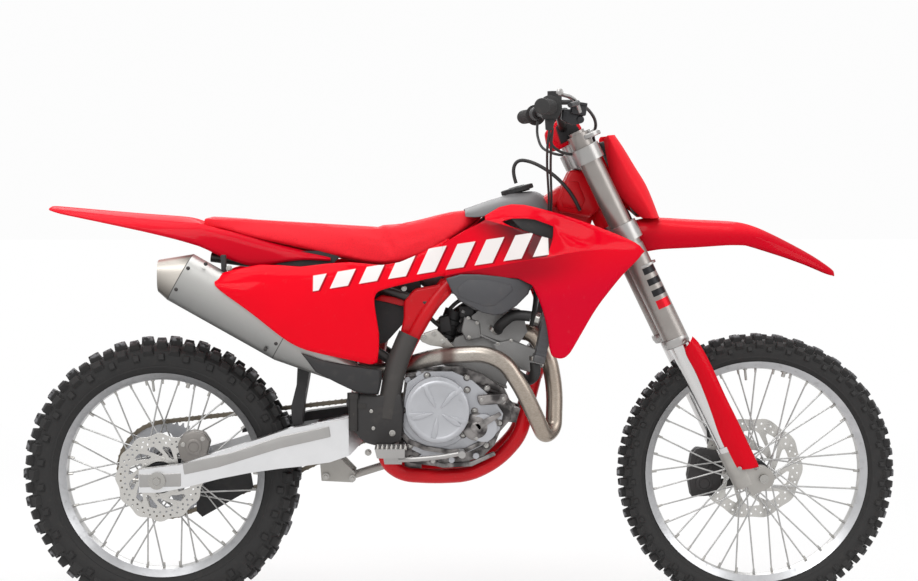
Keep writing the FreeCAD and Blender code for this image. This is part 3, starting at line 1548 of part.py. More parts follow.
shift_shares = (
    (0.4229, 0.2250, 0.2963), (0.4579, 0.2292, 0.2896), (0.4949, 0.2333, 0.2869),
)
shift_tip_length = 34.0
hose_radius = 13.0
upper_hose_shares = (
    (0.5623, -0.1167, 0.4768), (0.5636, -0.1917, 0.4862), (0.5845, -0.2250, 0.5051),
    (0.6074, -0.2500, 0.5044), (0.6263, -0.2625, 0.5010),
)
lower_hose_shares = (
    (0.6209, -0.2771, 0.4377), (0.6229, -0.2771, 0.4067), (0.6094, -0.2333, 0.3946),
    (0.5912, -0.1750, 0.4067), (0.5778, -0.0833, 0.4269),
)
cable_radius = 3.5
cable_shares = (
    (0.6404, -0.5375, 0.8350), (0.6384, -0.5083, 0.8081), (0.6438, -0.4062, 0.7825),
    (0.6633, -0.2875, 0.7717), (0.6815, -0.2333, 0.7684), (0.7003, -0.2083, 0.7677),
)
master_shares = (
    (0.3239, 0.3165), (0.3239, 0.3690), (0.3239, 0.3785),
)
master_y = 134.0
master_radius = 12.5
master_cap_radius = 15.5
master_tab_shares = (
    (0.3259, 0.3609), (0.3448, 0.3609), (0.3448, 0.3529), (0.3259, 0.3529),
)
master_tab_depth = 4.0
slider_shares = (
    (0.1293, 0.2963), (0.2141, 0.3125), (0.3158, 0.3273), (0.3448, 0.3273),
    (0.3448, 0.3387), (0.3158, 0.3421), (0.2438, 0.3327), (0.1623, 0.3125),
    (0.1293, 0.3030),
)
slider_inner = 62.0
slider_outer = 100.0


def foot_bar(shares, end_y, tip_length, tip_radius):
    points = route_points(shares)
    bar = pipe(points, foot_bar_radius)
    root = rod(points[0], vec(points[0].x, end_y, points[0].z), pedal_pivot_radius)
    outward = math.copysign(tip_length, points[-1].y)
    tip = rod(points[-1] - vec(0, outward / 3, 0), points[-1] + vec(0, outward, 0), tip_radius)
    return fused([bar, root, tip])


def foot_controls():
    pedal = foot_bar(pedal_shares, -peg_inner, pedal_pad_length, pedal_pad_radius)
    shift = foot_bar(shift_shares, case_left, shift_tip_length, foot_bar_radius)
    return Part.makeCompound([pedal, shift])


def radiator_hoses():
    upper = pipe(route_points(upper_hose_shares), hose_radius)
    lower = pipe(route_points(lower_hose_shares), hose_radius)
    room = [cylinder(), radiator()]
    return Part.makeCompound([upper.cut(room), lower.cut(room)])


def control_cables(room):
    throttle = pipe(route_points(cable_shares), cable_radius)
    between = throttle.cut(room).Solids
    return pair(max(between, key=lambda solid: solid.Volume))


def rear_master(guard_shape):
    low, middle, high = side_points(master_shares, -master_y)
    guard_outer = guard_span()[1]
    tab = plate(master_tab_shares, -guard_outer - master_tab_depth, -guard_outer)
    barrel = rod(low, middle, master_radius)
    cap = rod(middle, high, master_cap_radius)
    return fused([barrel, cap, tab]).cut(guard_shape)


def chain_slider(arm_shape):
    return plate(slider_shares, slider_inner, slider_outer).cut(arm_shape)


def subframe():
    rail = pipe(route_points(subframe_shares), subframe_radius)
    strut = pipe(route_points(subframe_strut_shares), subframe_radius)
    return fused([rail, strut])


def guard_span():
    inner = spar_shares[4][1] * body_width + spar_radius * spar_tube_share + sliver_gap
    return inner, inner + tube_guard_wall


def frame_guard():
    tube_guard_inner, tube_guard_outer = guard_span()
    return plate(tube_guard_shares, -tube_guard_outer, -tube_guard_inner)


def radiator():
    core = plate(radiator_shares, -radiator_outer, -radiator_inner)
    stays = []
    for points in (upper_stay_shares, lower_stay_shares):
        start, end = route_points(points)
        stays.append(rod(start, end, stay_radius))
    return fused([core] + stays)


def footpeg():
    tread = plate(peg_shares, -peg_outer, -peg_inner)
    bracket = plate(peg_bracket_shares, -peg_inner, -peg_bracket_inner)
    return tread.fuse(bracket)


def shock():
    start, end = route_points(shock_shares)
    return rod(start, end, shock_radius)


def linkage(arm_shape, frame_shape):
    right = plate(link_shares, -link_outer, -link_inner)
    left = plate(link_shares, link_inner, link_outer)
    start, end = route_points(pull_rod_shares)
    pull_rod = rod(start, end, pull_rod_radius)
    pin = rod(start - vec(0, link_outer, 0), start + vec(0, link_outer, 0), link_pin_radius)
    return fused([right, left, pull_rod, pin]).cut([arm_shape, frame_shape])


def airbox(tank_shape, seat_shape):
    block = plate(airbox_shares, -airbox_half, airbox_half)
    rails = subframe()
    start, end = route_points(shock_shares)
    shock_room = rod(start, end, shock_radius + tank_gap)
    return block.cut([tank_shape, seat_shape, rails, mirrored(rails), shock_room])


def throttle_body():
    start, end = route_points(throttle_shares)
    return rod(start, end, throttle_radius).cut(cylinder())


# placing every node about the rider's seat point
rider_point = vec(rider_shares[0] * wheelbase, 0, rider_shares[1] * wheelbase)


def save(node_name, shape):
    moved = shape.copy()
    moved.translate(rider_point * -1)
    moved.exportStep("parts/" + node_name + ".step")


os.makedirs("parts", exist_ok=True)

save("front_tyre", front_tyre)
save("rear_tyre", rear_tyre)
save("front_rim", front_rim)
save("rear_rim", rear_rim)
save("front_hub", front_hub)
save("rear_hub", rear_hub)
save("front_disc", front_disc)
save("rear_disc", rear_disc)
save("rear_sprocket", rear_sprocket)
save("chain", drive_chain)
save("pinion", pinion)
frame_shape = main_frame()
arm_shape = swingarm()
clamp_shape = triple_clamps()
right_controls = lever(right_lever_shares, -1)
left_controls = lever(left_lever_shares, 1)
cylinder_shape = cylinder()
seat_room = seat(soft_gap)
rail = subframe().cut(frame_shape)
rails = [rail, mirrored(rail)]
tank_shape = fuel_tank()
airbox_shape = airbox(tank_shape, seat_room)

save("fork_tubes", pair(fork_tube(-1)))
save("fork_legs", pair(fork_leg(-1)))
save("triple_clamps", clamp_shape)
save("front_axle", front_axle())
save("handlebar", handlebar())
save("grips", pair(grip(-1)))
save("bar_clamps", bar_clamps())
save("right_controls", right_controls)
save("left_controls", left_controls)
save("bar_pad", plate(pad_shares, -pad_half_width, pad_half_width).cut(handlebar()))
save("front_fender", front_fender())
save("number_plate", number_plate(clamp_shape))
save("fork_guards", pair(fork_guard(-1)))
save("front_caliper", front_caliper())
save("brake_hose", pipe(route_points(brake_hose_shares), brake_hose_radius))
save("main_frame", frame_shape)
save("engine_cases", engine_cases(frame_shape))
save("engine_covers", engine_covers())
save("cylinder", cylinder_shape)
save("exhaust_header", exhaust_header())
save("silencer", silencer())
save("swingarm", arm_shape)
save("linkage", linkage(arm_shape, frame_shape))
save("rear_axle", rear_axle())
save("rear_caliper", rear_caliper())
save("seat", seat(0))
save("fuel_tank", tank_shape)
save("fuel_cap", fuel_cap(tank_shape))
save("vent_hose", pipe(route_points(vent_hose_shares), vent_hose_radius))
save("shrouds", pair(shroud()))
save("side_panels", pair(side_panel(rails[1])))
save("rear_fender", rear_fender(seat_room, rails))
save("airbox", airbox_shape)
save("mud_flap", mud_flap(airbox_shape))
save("subframe", Part.makeCompound(rails))
save("frame_guards", pair(frame_guard()))
save("radiators", pair(radiator().cut(frame_shape)))
save("footpegs", pair(footpeg().cut(frame_shape)))
save("shock", shock())
save("foot_controls", foot_controls())
save("radiator_hoses", radiator_hoses())
save("control_cables", control_cables([clamp_shape, right_controls, fork_tube(-1), handlebar()]))
save("rear_master", rear_master(frame_guard()))
save("chain_slider", chain_slider(arm_shape))
save("throttle_body", throttle_body())
save("chain_guide", plate(chain_guide_shares, chain_y - chain_width, chain_y - chain_width / 2))
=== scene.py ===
import math
import bmesh
import bpy
from mathutils import Matrix, Vector


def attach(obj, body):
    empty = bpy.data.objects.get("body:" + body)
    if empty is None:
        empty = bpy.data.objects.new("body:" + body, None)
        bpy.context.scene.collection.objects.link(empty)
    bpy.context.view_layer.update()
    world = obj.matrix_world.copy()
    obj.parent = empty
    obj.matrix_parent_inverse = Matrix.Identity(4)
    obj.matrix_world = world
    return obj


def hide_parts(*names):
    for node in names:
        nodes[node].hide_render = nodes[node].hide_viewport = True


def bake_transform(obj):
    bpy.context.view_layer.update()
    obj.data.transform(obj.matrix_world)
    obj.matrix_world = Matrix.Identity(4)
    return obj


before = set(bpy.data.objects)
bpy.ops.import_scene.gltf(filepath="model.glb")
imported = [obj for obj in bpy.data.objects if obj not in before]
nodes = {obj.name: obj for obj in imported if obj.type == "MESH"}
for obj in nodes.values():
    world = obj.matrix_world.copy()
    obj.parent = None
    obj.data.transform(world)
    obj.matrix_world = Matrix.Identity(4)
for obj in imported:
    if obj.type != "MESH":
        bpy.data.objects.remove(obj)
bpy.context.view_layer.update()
print("frame loaded:", len(nodes), "nodes")

# places are in bike millimetres: x forward of the rear axle, z up from the ground, y to the left
seatPoint = (444.015, 967.032)  # the rider's point, where the frame has its zero
rearCentre, frontCentre = (0.0, 346.0), (1485.0, 348.0)  # axles
outRight, outLeft, forward, upward = (0, -1, 0), (0, 1, 0), (1, 0, 0), (0, 0, 1)


def at(x, z, y=0.0):
    return Vector(((x - seatPoint[0]) / 1000, y / 1000, (z - seatPoint[1]) / 1000))


def polar(centre, radius, degrees):
    angle = math.radians(degrees)
    return centre[0] + radius * math.cos(angle), centre[1] + radius * math.sin(angle)


# materials


def tint(red, green, blue):  # screen colour, 0 to 255, as the shader wants it
    parts = []
    for part in (red, green, blue):
        part = part / 255
        parts.append(part / 12.92 if part < 0.04045 else ((part + 0.055) / 1.055) ** 2.4)
    return (*parts, 1.0)


def shade(colour, share):
    return (*(part * share for part in colour[:3]), 1.0)


class Wire:  # a socket that does maths
    def __init__(self, shader, socket):
        self.shader = shader
        self.socket = socket

    def maths(self, operation, first, second):
        return self.shader.add("ShaderNodeMath", {"operation": operation}, {0: first, 1: second})

    def __add__(self, other):
        return self.maths("ADD", self, other)

    def __radd__(self, other):
        return self.maths("ADD", other, self)

    def __sub__(self, other):
        return self.maths("SUBTRACT", self, other)

    def __rsub__(self, other):
        return self.maths("SUBTRACT", other, self)

    def __mul__(self, other):
        return self.maths("MULTIPLY", self, other)

    def __truediv__(self, other):
        return self.maths("DIVIDE", self, other)

    def step(self, low, high):  # smooth ramp from 0 at low to 1 at high
        sockets = {"Value": self, "From Min": low, "From Max": high, "To Min": 0.0, "To Max": 1.0}
        return self.shader.add("ShaderNodeMapRange", {"interpolation_type": "SMOOTHSTEP"}, sockets)

    def between(self, rise, fall):  # 1 from the end of rise to the start of fall
        return self.step(*rise) * (1 - self.step(*fall))

    def wave(self, size):  # triangle wave between 0 and 1, in the wire's own unit
        return self.maths("PINGPONG", self, size / 2) / (size / 2)


class Shader:
    def __init__(self, name):
        self.material = bpy.data.materials.new(name)
        self.material.use_nodes = True
        self.tree = self.material.node_tree
        self.surface = self.tree.nodes["Principled BSDF"]
        self.place = self.add("ShaderNodeTexCoord", output="Object")

    def add(self, kind, settings=None, sockets=None, output=0):
        node = self.tree.nodes.new(kind)
        for key, value in (settings or {}).items():
            setattr(node, key, value)
        for key, value in (sockets or {}).items():
            self.feed(node.inputs[key], value)
        return Wire(self, node.outputs[output])

    def feed(self, socket, value):
        if isinstance(value, Wire):
            self.tree.links.new(value.socket, socket)
        else:
            socket.default_value = value

    def set(self, **values):
        for key, value in values.items():
            self.feed(self.surface.inputs[key.replace("_", " ")], value)

    def axis(self, name):  # metres along x, y or z
        return self.add("ShaderNodeSeparateXYZ", None, {0: self.place}, name)

    def bikeX(self):  # millimetres forward of the rear axle
        return self.axis("X") * 1000 + seatPoint[0]

    def bikeZ(self):  # millimetres up from the ground
        return self.axis("Z") * 1000 + seatPoint[1]

    def leaning(self, lean):  # millimetres along and across a line that leans in the side view
        x, z = self.bikeX(), self.bikeZ()
        level, drop = lean
        return x * level - z * drop, x * drop + z * level

    def length(self, first, second):
        return self.add("ShaderNodeMath", {"operation": "SQRT"}, {0: first * first + second * second})

    def radius(self, centre):  # millimetres from an axle
        return self.length(self.bikeX() - centre[0], self.bikeZ() - centre[1])

    def noise(self, size, detail=3.0, stretch=None):
        where = self.place
        if stretch:
            where = self.add("ShaderNodeMapping", None, {"Vector": where, "Scale": stretch})
        sockets = {"Vector": where, "Scale": 1 / size, "Detail": detail, "Roughness": 0.5}
        return self.add("ShaderNodeTexNoise", None, sockets)

    def cells(self, size):
        return self.add("ShaderNodeTexVoronoi", {"feature": "F1"}, {"Vector": self.place, "Scale": 1 / size})

    def mix(self, share, first, second):
        return self.add("ShaderNodeMix", {"data_type": "RGBA"}, {0: share, 6: first, 7: second}, 2)

    def bump(self, height, depth, strength=1.0):
        sockets = {"Strength": strength, "Distance": depth, "Height": height}
        return self.add("ShaderNodeBump", None, sockets)


def finish(name, colour, rough, metallic, wear, grain, depth, extra=None):
    shader = Shader(name)
    drift = shader.noise(0.06)
    dust = shader.noise(0.011, 4.0)
    base = shader.mix(drift, shade(colour, 1 - wear), shade(colour, 1 + wear / 2))
    base = shader.mix(dust.step(0.62, 0.82) * (wear * 0.8), base, tint(150, 141, 130))
    shader.set(Base_Color=base, Metallic=metallic, Roughness=rough + (drift - 0.5) * (wear * 0.9))
    shader.set(Normal=shader.bump(shader.noise(grain, 2.0), depth))
    shader.set(**(extra or {}))
    return shader.material


def brushed(name, colour, rough, stretch, metallic=0.95, depth=0.00005):
    shader = Shader(name)
    lines = shader.noise(0.0012, 3.0, stretch)
    drift = shader.noise(0.05)
    shader.set(Base_Color=shader.mix(drift, shade(colour, 0.9), shade(colour, 1.05)), Metallic=metallic)
    shader.set(Roughness=rough + (lines - 0.5) * 0.18, Normal=shader.bump(lines, depth))
    return shader.material


def glossPlastic(name, colour, low=None, span=(0, 1)):  # low is painted shade: the part below span darkens to it
    shader = Shader(name)
    drift = shader.noise(0.09)
    swirl = shader.noise(0.004, 2.0)
    scuffs = shader.noise(0.02, 5.0, (1.0, 1.0, 0.25)).step(0.6, 0.8)
    base = shader.mix(drift, shade(colour, 0.93), shade(colour, 1.02))
    # painted shade: darker towards the bottom, below span
    if low:
        base = shader.mix(1 - shader.bikeZ().step(*span), base, low)
    shader.set(Base_Color=base, Roughness=0.22 + scuffs * 0.12, Coat_Weight=0.14, Coat_Roughness=0.08)
    shader.set(Specular_IOR_Level=0.0, Normal=shader.bump(swirl, 0.00005))
    return shader.material


# the band of slanted stripes: origin and climb of its lower edge, height, where the height grows and by how much,
# slant and pitch of the stripes, share of the pitch that is left bare, and the ends of stripes and shadows
stripes = {"origin": (380, 811), "climb": 0.155, "height": 37, "grows": (560, 680), "growth": 21, "slant": 0.5,
           "pitch": 70.0, "bare": (0.36, 0.4), "start": (384, 386), "end": (952, 954), "shadowEnd": (948, 950)}


def stripeBand(x, z, shift, drop, end):
    level = z - stripes["origin"][1] - (x - stripes["origin"][0]) * stripes["climb"]
    height = stripes["height"] + x.step(*stripes["grows"]) * stripes["growth"]
    slanted = (x - level * stripes["slant"] + shift).wave(stripes["pitch"]).step(*stripes["bare"])
    inside = (level + drop).step(-1, 1) * (1 - (level + drop - height).step(-1, 1))
    return slanted * inside * x.between(stripes["start"], end)


def decalPlastic(name, base, kind):
    shader = Shader(name)
    x, z = shader.bikeX(), shader.bikeZ()
    drift = shader.noise(0.09)
    colour = shader.mix(drift, shade(base, 0.94), shade(base, 1.02))
    if kind == "shroud":
        crease = z - 864 - (x - 790) * 0.19
        front = x - 950 - (z - 896) * 0.34
        # painted shade between the top band and the crease, darkest towards the front and top
        inside = crease.step(0, 2) * (1 - front.step(-1, 1)) * (984 - z - (x - 800) * 0.28).step(-1, 2)
        upper = (x - 800 + (z - 930)).step(-30, 110) * inside
        colour = shader.mix(upper * 0.92, colour, tint(60, 30, 34))
        # painted shade: the facet below the crease turns a darker crimson
        colour = shader.mix(1 - (crease + 60).step(-60, 60), colour, tint(212, 2, 40))
        # painted shadow under the crease, fading downwards and towards the front
        lower = (1 - crease.step(-1, 1)) * (crease + 92).step(0, 66) * (1 - x.step(900, 1090))
        colour = shader.mix(lower * 0.55, colour, tint(92, 16, 30))
    shadow = stripeBand(x, z, 2, 3, stripes["shadowEnd"])
    colour = shader.mix(shadow * 0.7, colour, tint(120, 8, 26))
    colour = shader.mix(stripeBand(x, z, 8, 0, stripes["end"]), colour, tint(238, 232, 230))
    dust = shader.noise(0.012, 4.0).step(0.62, 0.85)
    shader.set(Base_Color=shader.mix(dust * 0.06, colour, tint(170, 160, 150)), Coat_Weight=0.16, Coat_Roughness=0.07)
    shader.set(Roughness=0.3 + dust * 0.1, Specular_IOR_Level=0.0)
    shader.set(Normal=shader.bump(shader.noise(0.005, 2.0), 0.00006))
    return shader.material


def tyreRubber(name, centre, bed):
    shader = Shader(name)
    dust = shader.noise(0.016, 5.0).step(0.5, 0.85)
    base = shader.mix(dust * 0.35, tint(34, 33, 33), tint(74, 71, 68))
    # painted highlight, partly dust: the knob tops above the bed turn a patchy light grey
    knobTopDustAndHighlight = shader.radius(centre).step(bed + 6, bed + 12) * shader.noise(0.011, 4.0).step(0.4, 0.6)
    base = shader.mix(knobTopDustAndHighlight * 0.85, base, tint(140, 140, 143))
    shader.set(Base_Color=base, Roughness=0.72 + dust * 0.14)
    shader.set(Normal=shader.bump(shader.noise(0.0015, 4.0), 0.00018))
    return shader.material


def seatVinyl(name):
    shader = Shader(name)
    pebble = shader.cells(0.0021)
    drift = shader.noise(0.12)
    base = shader.mix(drift, tint(222, 12, 32), tint(240, 26, 44))
    base = shader.mix(pebble.step(0.35, 0.8) * 0.22, base, tint(140, 14, 26))
    shader.set(Base_Color=base, Roughness=0.5 + drift * 0.1, Sheen_Weight=0.04, Sheen_Roughness=0.4)
    shader.set(Specular_IOR_Level=0.16, Normal=shader.bump(pebble, 0.00022, 0.7))
    return shader.material


def headerSteel(name):
    shader = Shader(name)
    x = shader.bikeX()
    lines = shader.noise(0.002, 3.0, (0.3, 1.0, 1.0))
    base = shader.mix(lines, tint(128, 122, 115), tint(196, 190, 182))
    base = shader.mix(x.step(690, 960) * 0.3, base, tint(150, 122, 92))
    base = shader.mix(x.between((688, 702), (716, 736)) * 0.8, base, tint(92, 66, 60))
    soot = shader.noise(0.03, 4.0).step(0.55, 0.8)
    base = shader.mix(soot * 0.3, base, tint(70, 64, 60))
    shader.set(Base_Color=base, Metallic=0.92, Roughness=0.26 + lines * 0.14 + soot * 0.1)
    shader.set(Normal=shader.bump(lines, 0.00006))
    return shader.material


def patchAlloy(name, dark, pale):  # raw casting, dark in places
    shader = Shader(name)
    patch = shader.noise(0.03, 4.0).step(0.36, 0.64)
    grain = shader.noise(0.0016, 3.0)
    base = shader.mix(patch, dark, pale)
    shader.set(Base_Color=base, Metallic=0.6, Roughness=0.42 + patch * 0.08, Normal=shader.bump(grain, 0.0001))
    return shader.material


silencerLean = (0.87, 0.493)
silencerCap, silencerSeams = (-364, -360), (-361.5, -72.0)  # along the silencer


def silencerSatin(name):
    shader = Shader(name)
    along, up = shader.leaning(silencerLean)
    lines = shader.noise(0.0014, 3.0, (0.12, 1.0, 1.0))
    drift = shader.noise(0.05)
    # painted shade: the body is darker towards the bottom
    base = shader.mix(up.step(700, 806), tint(120, 120, 119), tint(188, 187, 184))
    base = shader.mix(drift * 0.3, base, tint(166, 165, 162))
    # the cap is darker steel, with a painted highlight band across its middle
    capSteelAndHighlight = shader.mix(up.step(706, 770), tint(92, 88, 83), tint(196, 190, 182))
    capSteelAndHighlight = shader.mix(up.step(792, 826), capSteelAndHighlight, tint(104, 100, 94))
    base = shader.mix(1 - along.step(*silencerCap), base, capSteelAndHighlight)
    stains = shader.noise(0.018, 5.0).step(0.6, 0.85)
    base = shader.mix(stains * 0.2, base, tint(120, 112, 102))
    for place in silencerSeams:
        seam = (along - place).between((-1.6, -0.6), (0.6, 1.6))
        base = shader.mix(seam * 0.8, base, tint(52, 50, 48))
    shader.set(Base_Color=base, Metallic=0.7, Roughness=0.36 + lines * 0.1, Normal=shader.bump(lines, 0.00005))
    return shader.material


forkLean = (0.392, 0.92)
lugStart = (166, 168)  # down the fork, where the cast lug begins
# the plain printed marks on the upper tubes: across the fork, inner limit of y, then down the fork
forkMarks = {"face": ((1426, 1427), (1460, 1461)), "side": (104, 106), "bars": ((-337, -336), (-254, -253)),
             "first": 336, "pitch": 29.0, "bare": (0.42, 0.46), "tail": ((-245, -244), (-223, -222))}


def forkLeg(name):  # chromed slider above, cast lug below
    shader = Shader(name)
    down = shader.leaning(forkLean)[0]
    lug = down.step(*lugStart)
    skin = shader.noise(0.0018, 4.0)
    drift = shader.noise(0.04)
    cast = shader.mix(drift, tint(150, 147, 143), tint(182, 179, 174))
    base = shader.mix(lug, tint(206, 205, 204), cast)
    shader.set(Base_Color=base, Metallic=0.95 - lug * 0.2, Roughness=0.14 + lug * 0.26 + skin * 0.06)
    shader.set(Normal=shader.bump(skin, 0.00008))
    return shader.material


def forkTube(name):
    shader = Shader(name)
    down, side = shader.leaning(forkLean)
    y = shader.axis("Y") * 1000
    lines = shader.noise(0.002, 3.0, (1.0, 1.0, 0.1))
    drift = shader.noise(0.04)
    base = shader.mix(drift, tint(140, 134, 130), tint(160, 155, 151))
    near, far = forkMarks["side"]
    face = side.between(*forkMarks["face"]) * (y * y).step(near * near, far * far)
    bars = (down + forkMarks["first"]).wave(forkMarks["pitch"]).step(*forkMarks["bare"])
    bars = bars * down.between(*forkMarks["bars"])
    base = shader.mix(bars * face, base, tint(38, 37, 39))
    base = shader.mix(down.between(*forkMarks["tail"]) * face, base, tint(205, 16, 34))
    shader.set(Base_Color=base, Metallic=0.72, Roughness=0.3 + lines * 0.1, Normal=shader.bump(lines, 0.00003))
    return shader.material


def rimMaterial(name, centre, wellRadius):
    shader = Shader(name)
    well = shader.radius(centre).step(wellRadius - 1, wellRadius + 1)
    drift = shader.noise(0.03)
    dirt = shader.noise(0.012, 4.0).step(0.55, 0.8)
    outer = shader.mix(drift, tint(166, 167, 169), tint(198, 198, 200))
    spoke = shader.mix(drift, tint(150, 150, 150), tint(205, 204, 202))
    base = shader.mix(well, spoke, outer)
    base = shader.mix(dirt * 0.22, base, tint(112, 104, 96))
    shader.set(Base_Color=base, Metallic=0.88, Roughness=0.3 + dirt * 0.2 + (1 - well) * 0.04)
    shader.set(Normal=shader.bump(shader.noise(0.001), 0.00003))
    return shader.material


def castAlloy(name, colour, rough=0.46, metallic=0.7):
    shader = Shader(name)
    skin = shader.noise(0.0018, 4.0)
    drift = shader.noise(0.04)
    oil = shader.noise(0.02, 5.0).step(0.58, 0.82)
    base = shader.mix(drift, shade(colour, 0.86), shade(colour, 1.06))
    base = shader.mix(oil * 0.3, base, shade(colour, 0.35))
    shader.set(Base_Color=base, Metallic=metallic, Roughness=rough + skin * 0.16, Normal=shader.bump(skin, 0.00022))
    return shader.material


def padCover(name):  # red cover with a dark front
    shader = Shader(name)
    x, z = shader.bikeX(), shader.bikeZ()
    pebble = shader.cells(0.0018)
    dark = (x - 974 + (z - 1205) * 0.32).step(-3, 3)
    base = shader.mix(dark, tint(212, 14, 32), tint(40, 39, 40))
    base = shader.mix(pebble * 0.2, base, tint(20, 12, 14))
    shader.set(Base_Color=base, Roughness=0.55 + pebble * 0.1, Specular_IOR_Level=0.2)
    shader.set(Normal=shader.bump(pebble, 0.0002))
    return shader.material


def textured(name, colour, rough=0.6, size=0.0011, depth=0.0001):
    shader = Shader(name)
    pits = shader.cells(size)
    dust = shader.noise(0.03, 5.0).step(0.5, 0.85)
    base = shader.mix(dust * 0.18, colour, tint(118, 112, 106))
    shader.set(Base_Color=base, Roughness=rough + dust * 0.12, Normal=shader.bump(pits, depth))
    return shader.material


recipes = [
    # the fenders' second, darker red is painted shade, taken on below the given heights
    (glossPlastic, "redFender", tint(240, 34, 48), tint(196, 4, 30), (930, 982)),
    (glossPlastic, "redTail", tint(242, 38, 52), tint(206, 8, 34), (925, 1000)),
    (glossPlastic, "redGuard", tint(214, 8, 30)),
    (decalPlastic, "redPanel", tint(236, 4, 30), "panel"),
    (decalPlastic, "redShroud", tint(232, 6, 34), "shroud"),
    (finish, "redFrame", tint(202, 10, 24), 0.34, 0.0, 0.16, 0.003, 0.00005,
     {"Coat_Weight": 0.15, "Coat_Roughness": 0.2, "Specular_IOR_Level": 0.2}),
    (seatVinyl, "seatVinyl"),
    (textured, "blackPlastic", tint(36, 35, 36)),
    (textured, "platePlastic", tint(43, 41, 41)),
    (textured, "greyPlastic", tint(58, 55, 53)),
    (textured, "tankPlastic", tint(92, 91, 92), 0.5, 0.0016),
    (textured, "tankLobe", tint(70, 70, 73), 0.55, 0.0016),
    (padCover, "padCover"),
    (textured, "gripRubber", tint(46, 45, 45), 0.78, 0.0024, 0.0003),
    (textured, "hoseRubber", tint(34, 33, 33), 0.55, 0.0012),
    (tyreRubber, "frontRubber", frontCentre, 334.0),
    (tyreRubber, "rearRubber", rearCentre, 328.0),
    (headerSteel, "headerSteel"),
    (silencerSatin, "silencerSatin"),
    (patchAlloy, "caseAlloy", tint(58, 55, 55), tint(150, 146, 144)),
    (castAlloy, "coverAlloy", tint(182, 183, 187), 0.36, 0.78),
    (castAlloy, "cylinderAlloy", tint(148, 147, 146), 0.5),
    (brushed, "armAlloy", tint(222, 222, 223), 0.34, (0.15, 1.0, 1.0)),
    (finish, "clampAlloy", tint(170, 168, 166), 0.34, 0.85, 0.14, 0.0012, 0.00003),
    (forkTube, "forkTube"),
    (forkLeg, "forkLeg"),
    (castAlloy, "lugAlloy", tint(168, 165, 160), 0.4, 0.75),
    (brushed, "discSteel", tint(197, 195, 191), 0.3, (1.0, 1.0, 1.0)),
    (finish, "barAlloy", tint(64, 62, 62), 0.36, 0.8, 0.14, 0.001, 0.00003),
    (finish, "boltSteel", tint(176, 174, 170), 0.3, 0.95, 0.2, 0.0015, 0.00003),
    (finish, "darkSteel", tint(66, 64, 63), 0.42, 0.8, 0.2, 0.0015, 0.00004),
    (finish, "chainSteel", tint(120, 112, 100), 0.38, 0.9, 0.3, 0.0012, 0.00004),
    (castAlloy, "rearCastAlloy", tint(134, 130, 126), 0.4, 0.75),
    (castAlloy, "castDark", tint(92, 91, 92), 0.44, 0.7),
    (finish, "hubAlloy", tint(58, 58, 60), 0.36, 0.75, 0.14, 0.0015, 0.00003),
    (castAlloy, "caliperAlloy", tint(64, 62, 62), 0.42, 0.7),
    (finish, "springRed", tint(190, 30, 40), 0.34, 0.0, 0.12, 0.002, 0.00003, {"Coat_Weight": 0.4}),
    (brushed, "radiatorAlloy", tint(84, 84, 86), 0.45, (1.0, 1.0, 12.0), 0.7, 0.0002),
    (rimMaterial, "frontRim", frontCentre, 262.0),
    (rimMaterial, "rearRim", rearCentre, 238.0),
]
paint = {name: recipe(name, *values) for recipe, name, *values in recipes}

paintedNodes = {
    "redFrame": "main_frame", "redShroud": "shrouds", "redPanel": "side_panels", "redTail": "rear_fender",
    "redFender": "front_fender number_plate", "redGuard": "fork_guards", "springRed": "shock",
    "darkSteel": "subframe pinion rear_master", "boltSteel": "rear_axle front_axle", "chainSteel": "chain",
    "greyPlastic": "frame_guards", "tankPlastic": "fuel_tank", "seatVinyl": "seat", "padCover": "bar_pad",
    "blackPlastic": "chain_guide chain_slider fuel_cap mud_flap airbox left_controls right_controls",
    "caseAlloy": "engine_cases throttle_body", "coverAlloy": "engine_covers rear_sprocket",
    "cylinderAlloy": "cylinder", "headerSteel": "exhaust_header", "silencerSatin": "silencer", "armAlloy": "swingarm",
    "lugAlloy": "linkage", "clampAlloy": "footpegs foot_controls triple_clamps bar_clamps", "barAlloy": "handlebar",
    "hoseRubber": "vent_hose radiator_hoses brake_hose control_cables", "gripRubber": "grips",
    "radiatorAlloy": "radiators", "caliperAlloy": "front_caliper rear_caliper", "forkTube": "fork_tubes",
    "forkLeg": "fork_legs", "frontRubber": "front_tyre", "rearRubber": "rear_tyre", "frontRim": "front_rim",
    "rearRim": "rear_rim", "hubAlloy": "front_hub rear_hub", "discSteel": "front_disc rear_disc",
}
nodePaint = {name: key for key, names in paintedNodes.items() for name in names.split()}
for name, node in nodes.items():
    node.data.materials.clear()
    node.data.materials.append(paint[nodePaint[name]])
print("materials:", len(paint))


# modelling helpers


def newPiece(name, mesh, material, body, smooth, stands=()):
    data = bpy.data.meshes.new(name)
    mesh.to_mesh(data)
    mesh.free()
    piece = bpy.data.objects.new(name, data)
    bpy.context.scene.collection.objects.link(piece)
    data.materials.append(paint[material])
    data.polygons.foreach_set("use_smooth", [True] * len(data.polygons))
    data.set_sharp_from_angle(angle=math.radians(smooth))
    if body:
        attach(piece, body)
    if stands:
        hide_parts(*stands)
    return piece


def soften(mesh, width, segments=2, limit=30.0):
    edges = [edge for edge in mesh.edges if len(edge.link_faces) == 2 and edge.calc_face_angle(0) > math.radians(limit)]
    bmesh.ops.bevel(mesh, geom=edges, offset=width, offset_type="OFFSET", segments=segments, profile=0.5,
                    affect="EDGES", material=-1, clamp_overlap=True)


def merge(mesh, part):
    data = bpy.data.meshes.new("part")
    part.to_mesh(data)
    part.free()
    mesh.from_mesh(data)
    bpy.data.meshes.remove(data)


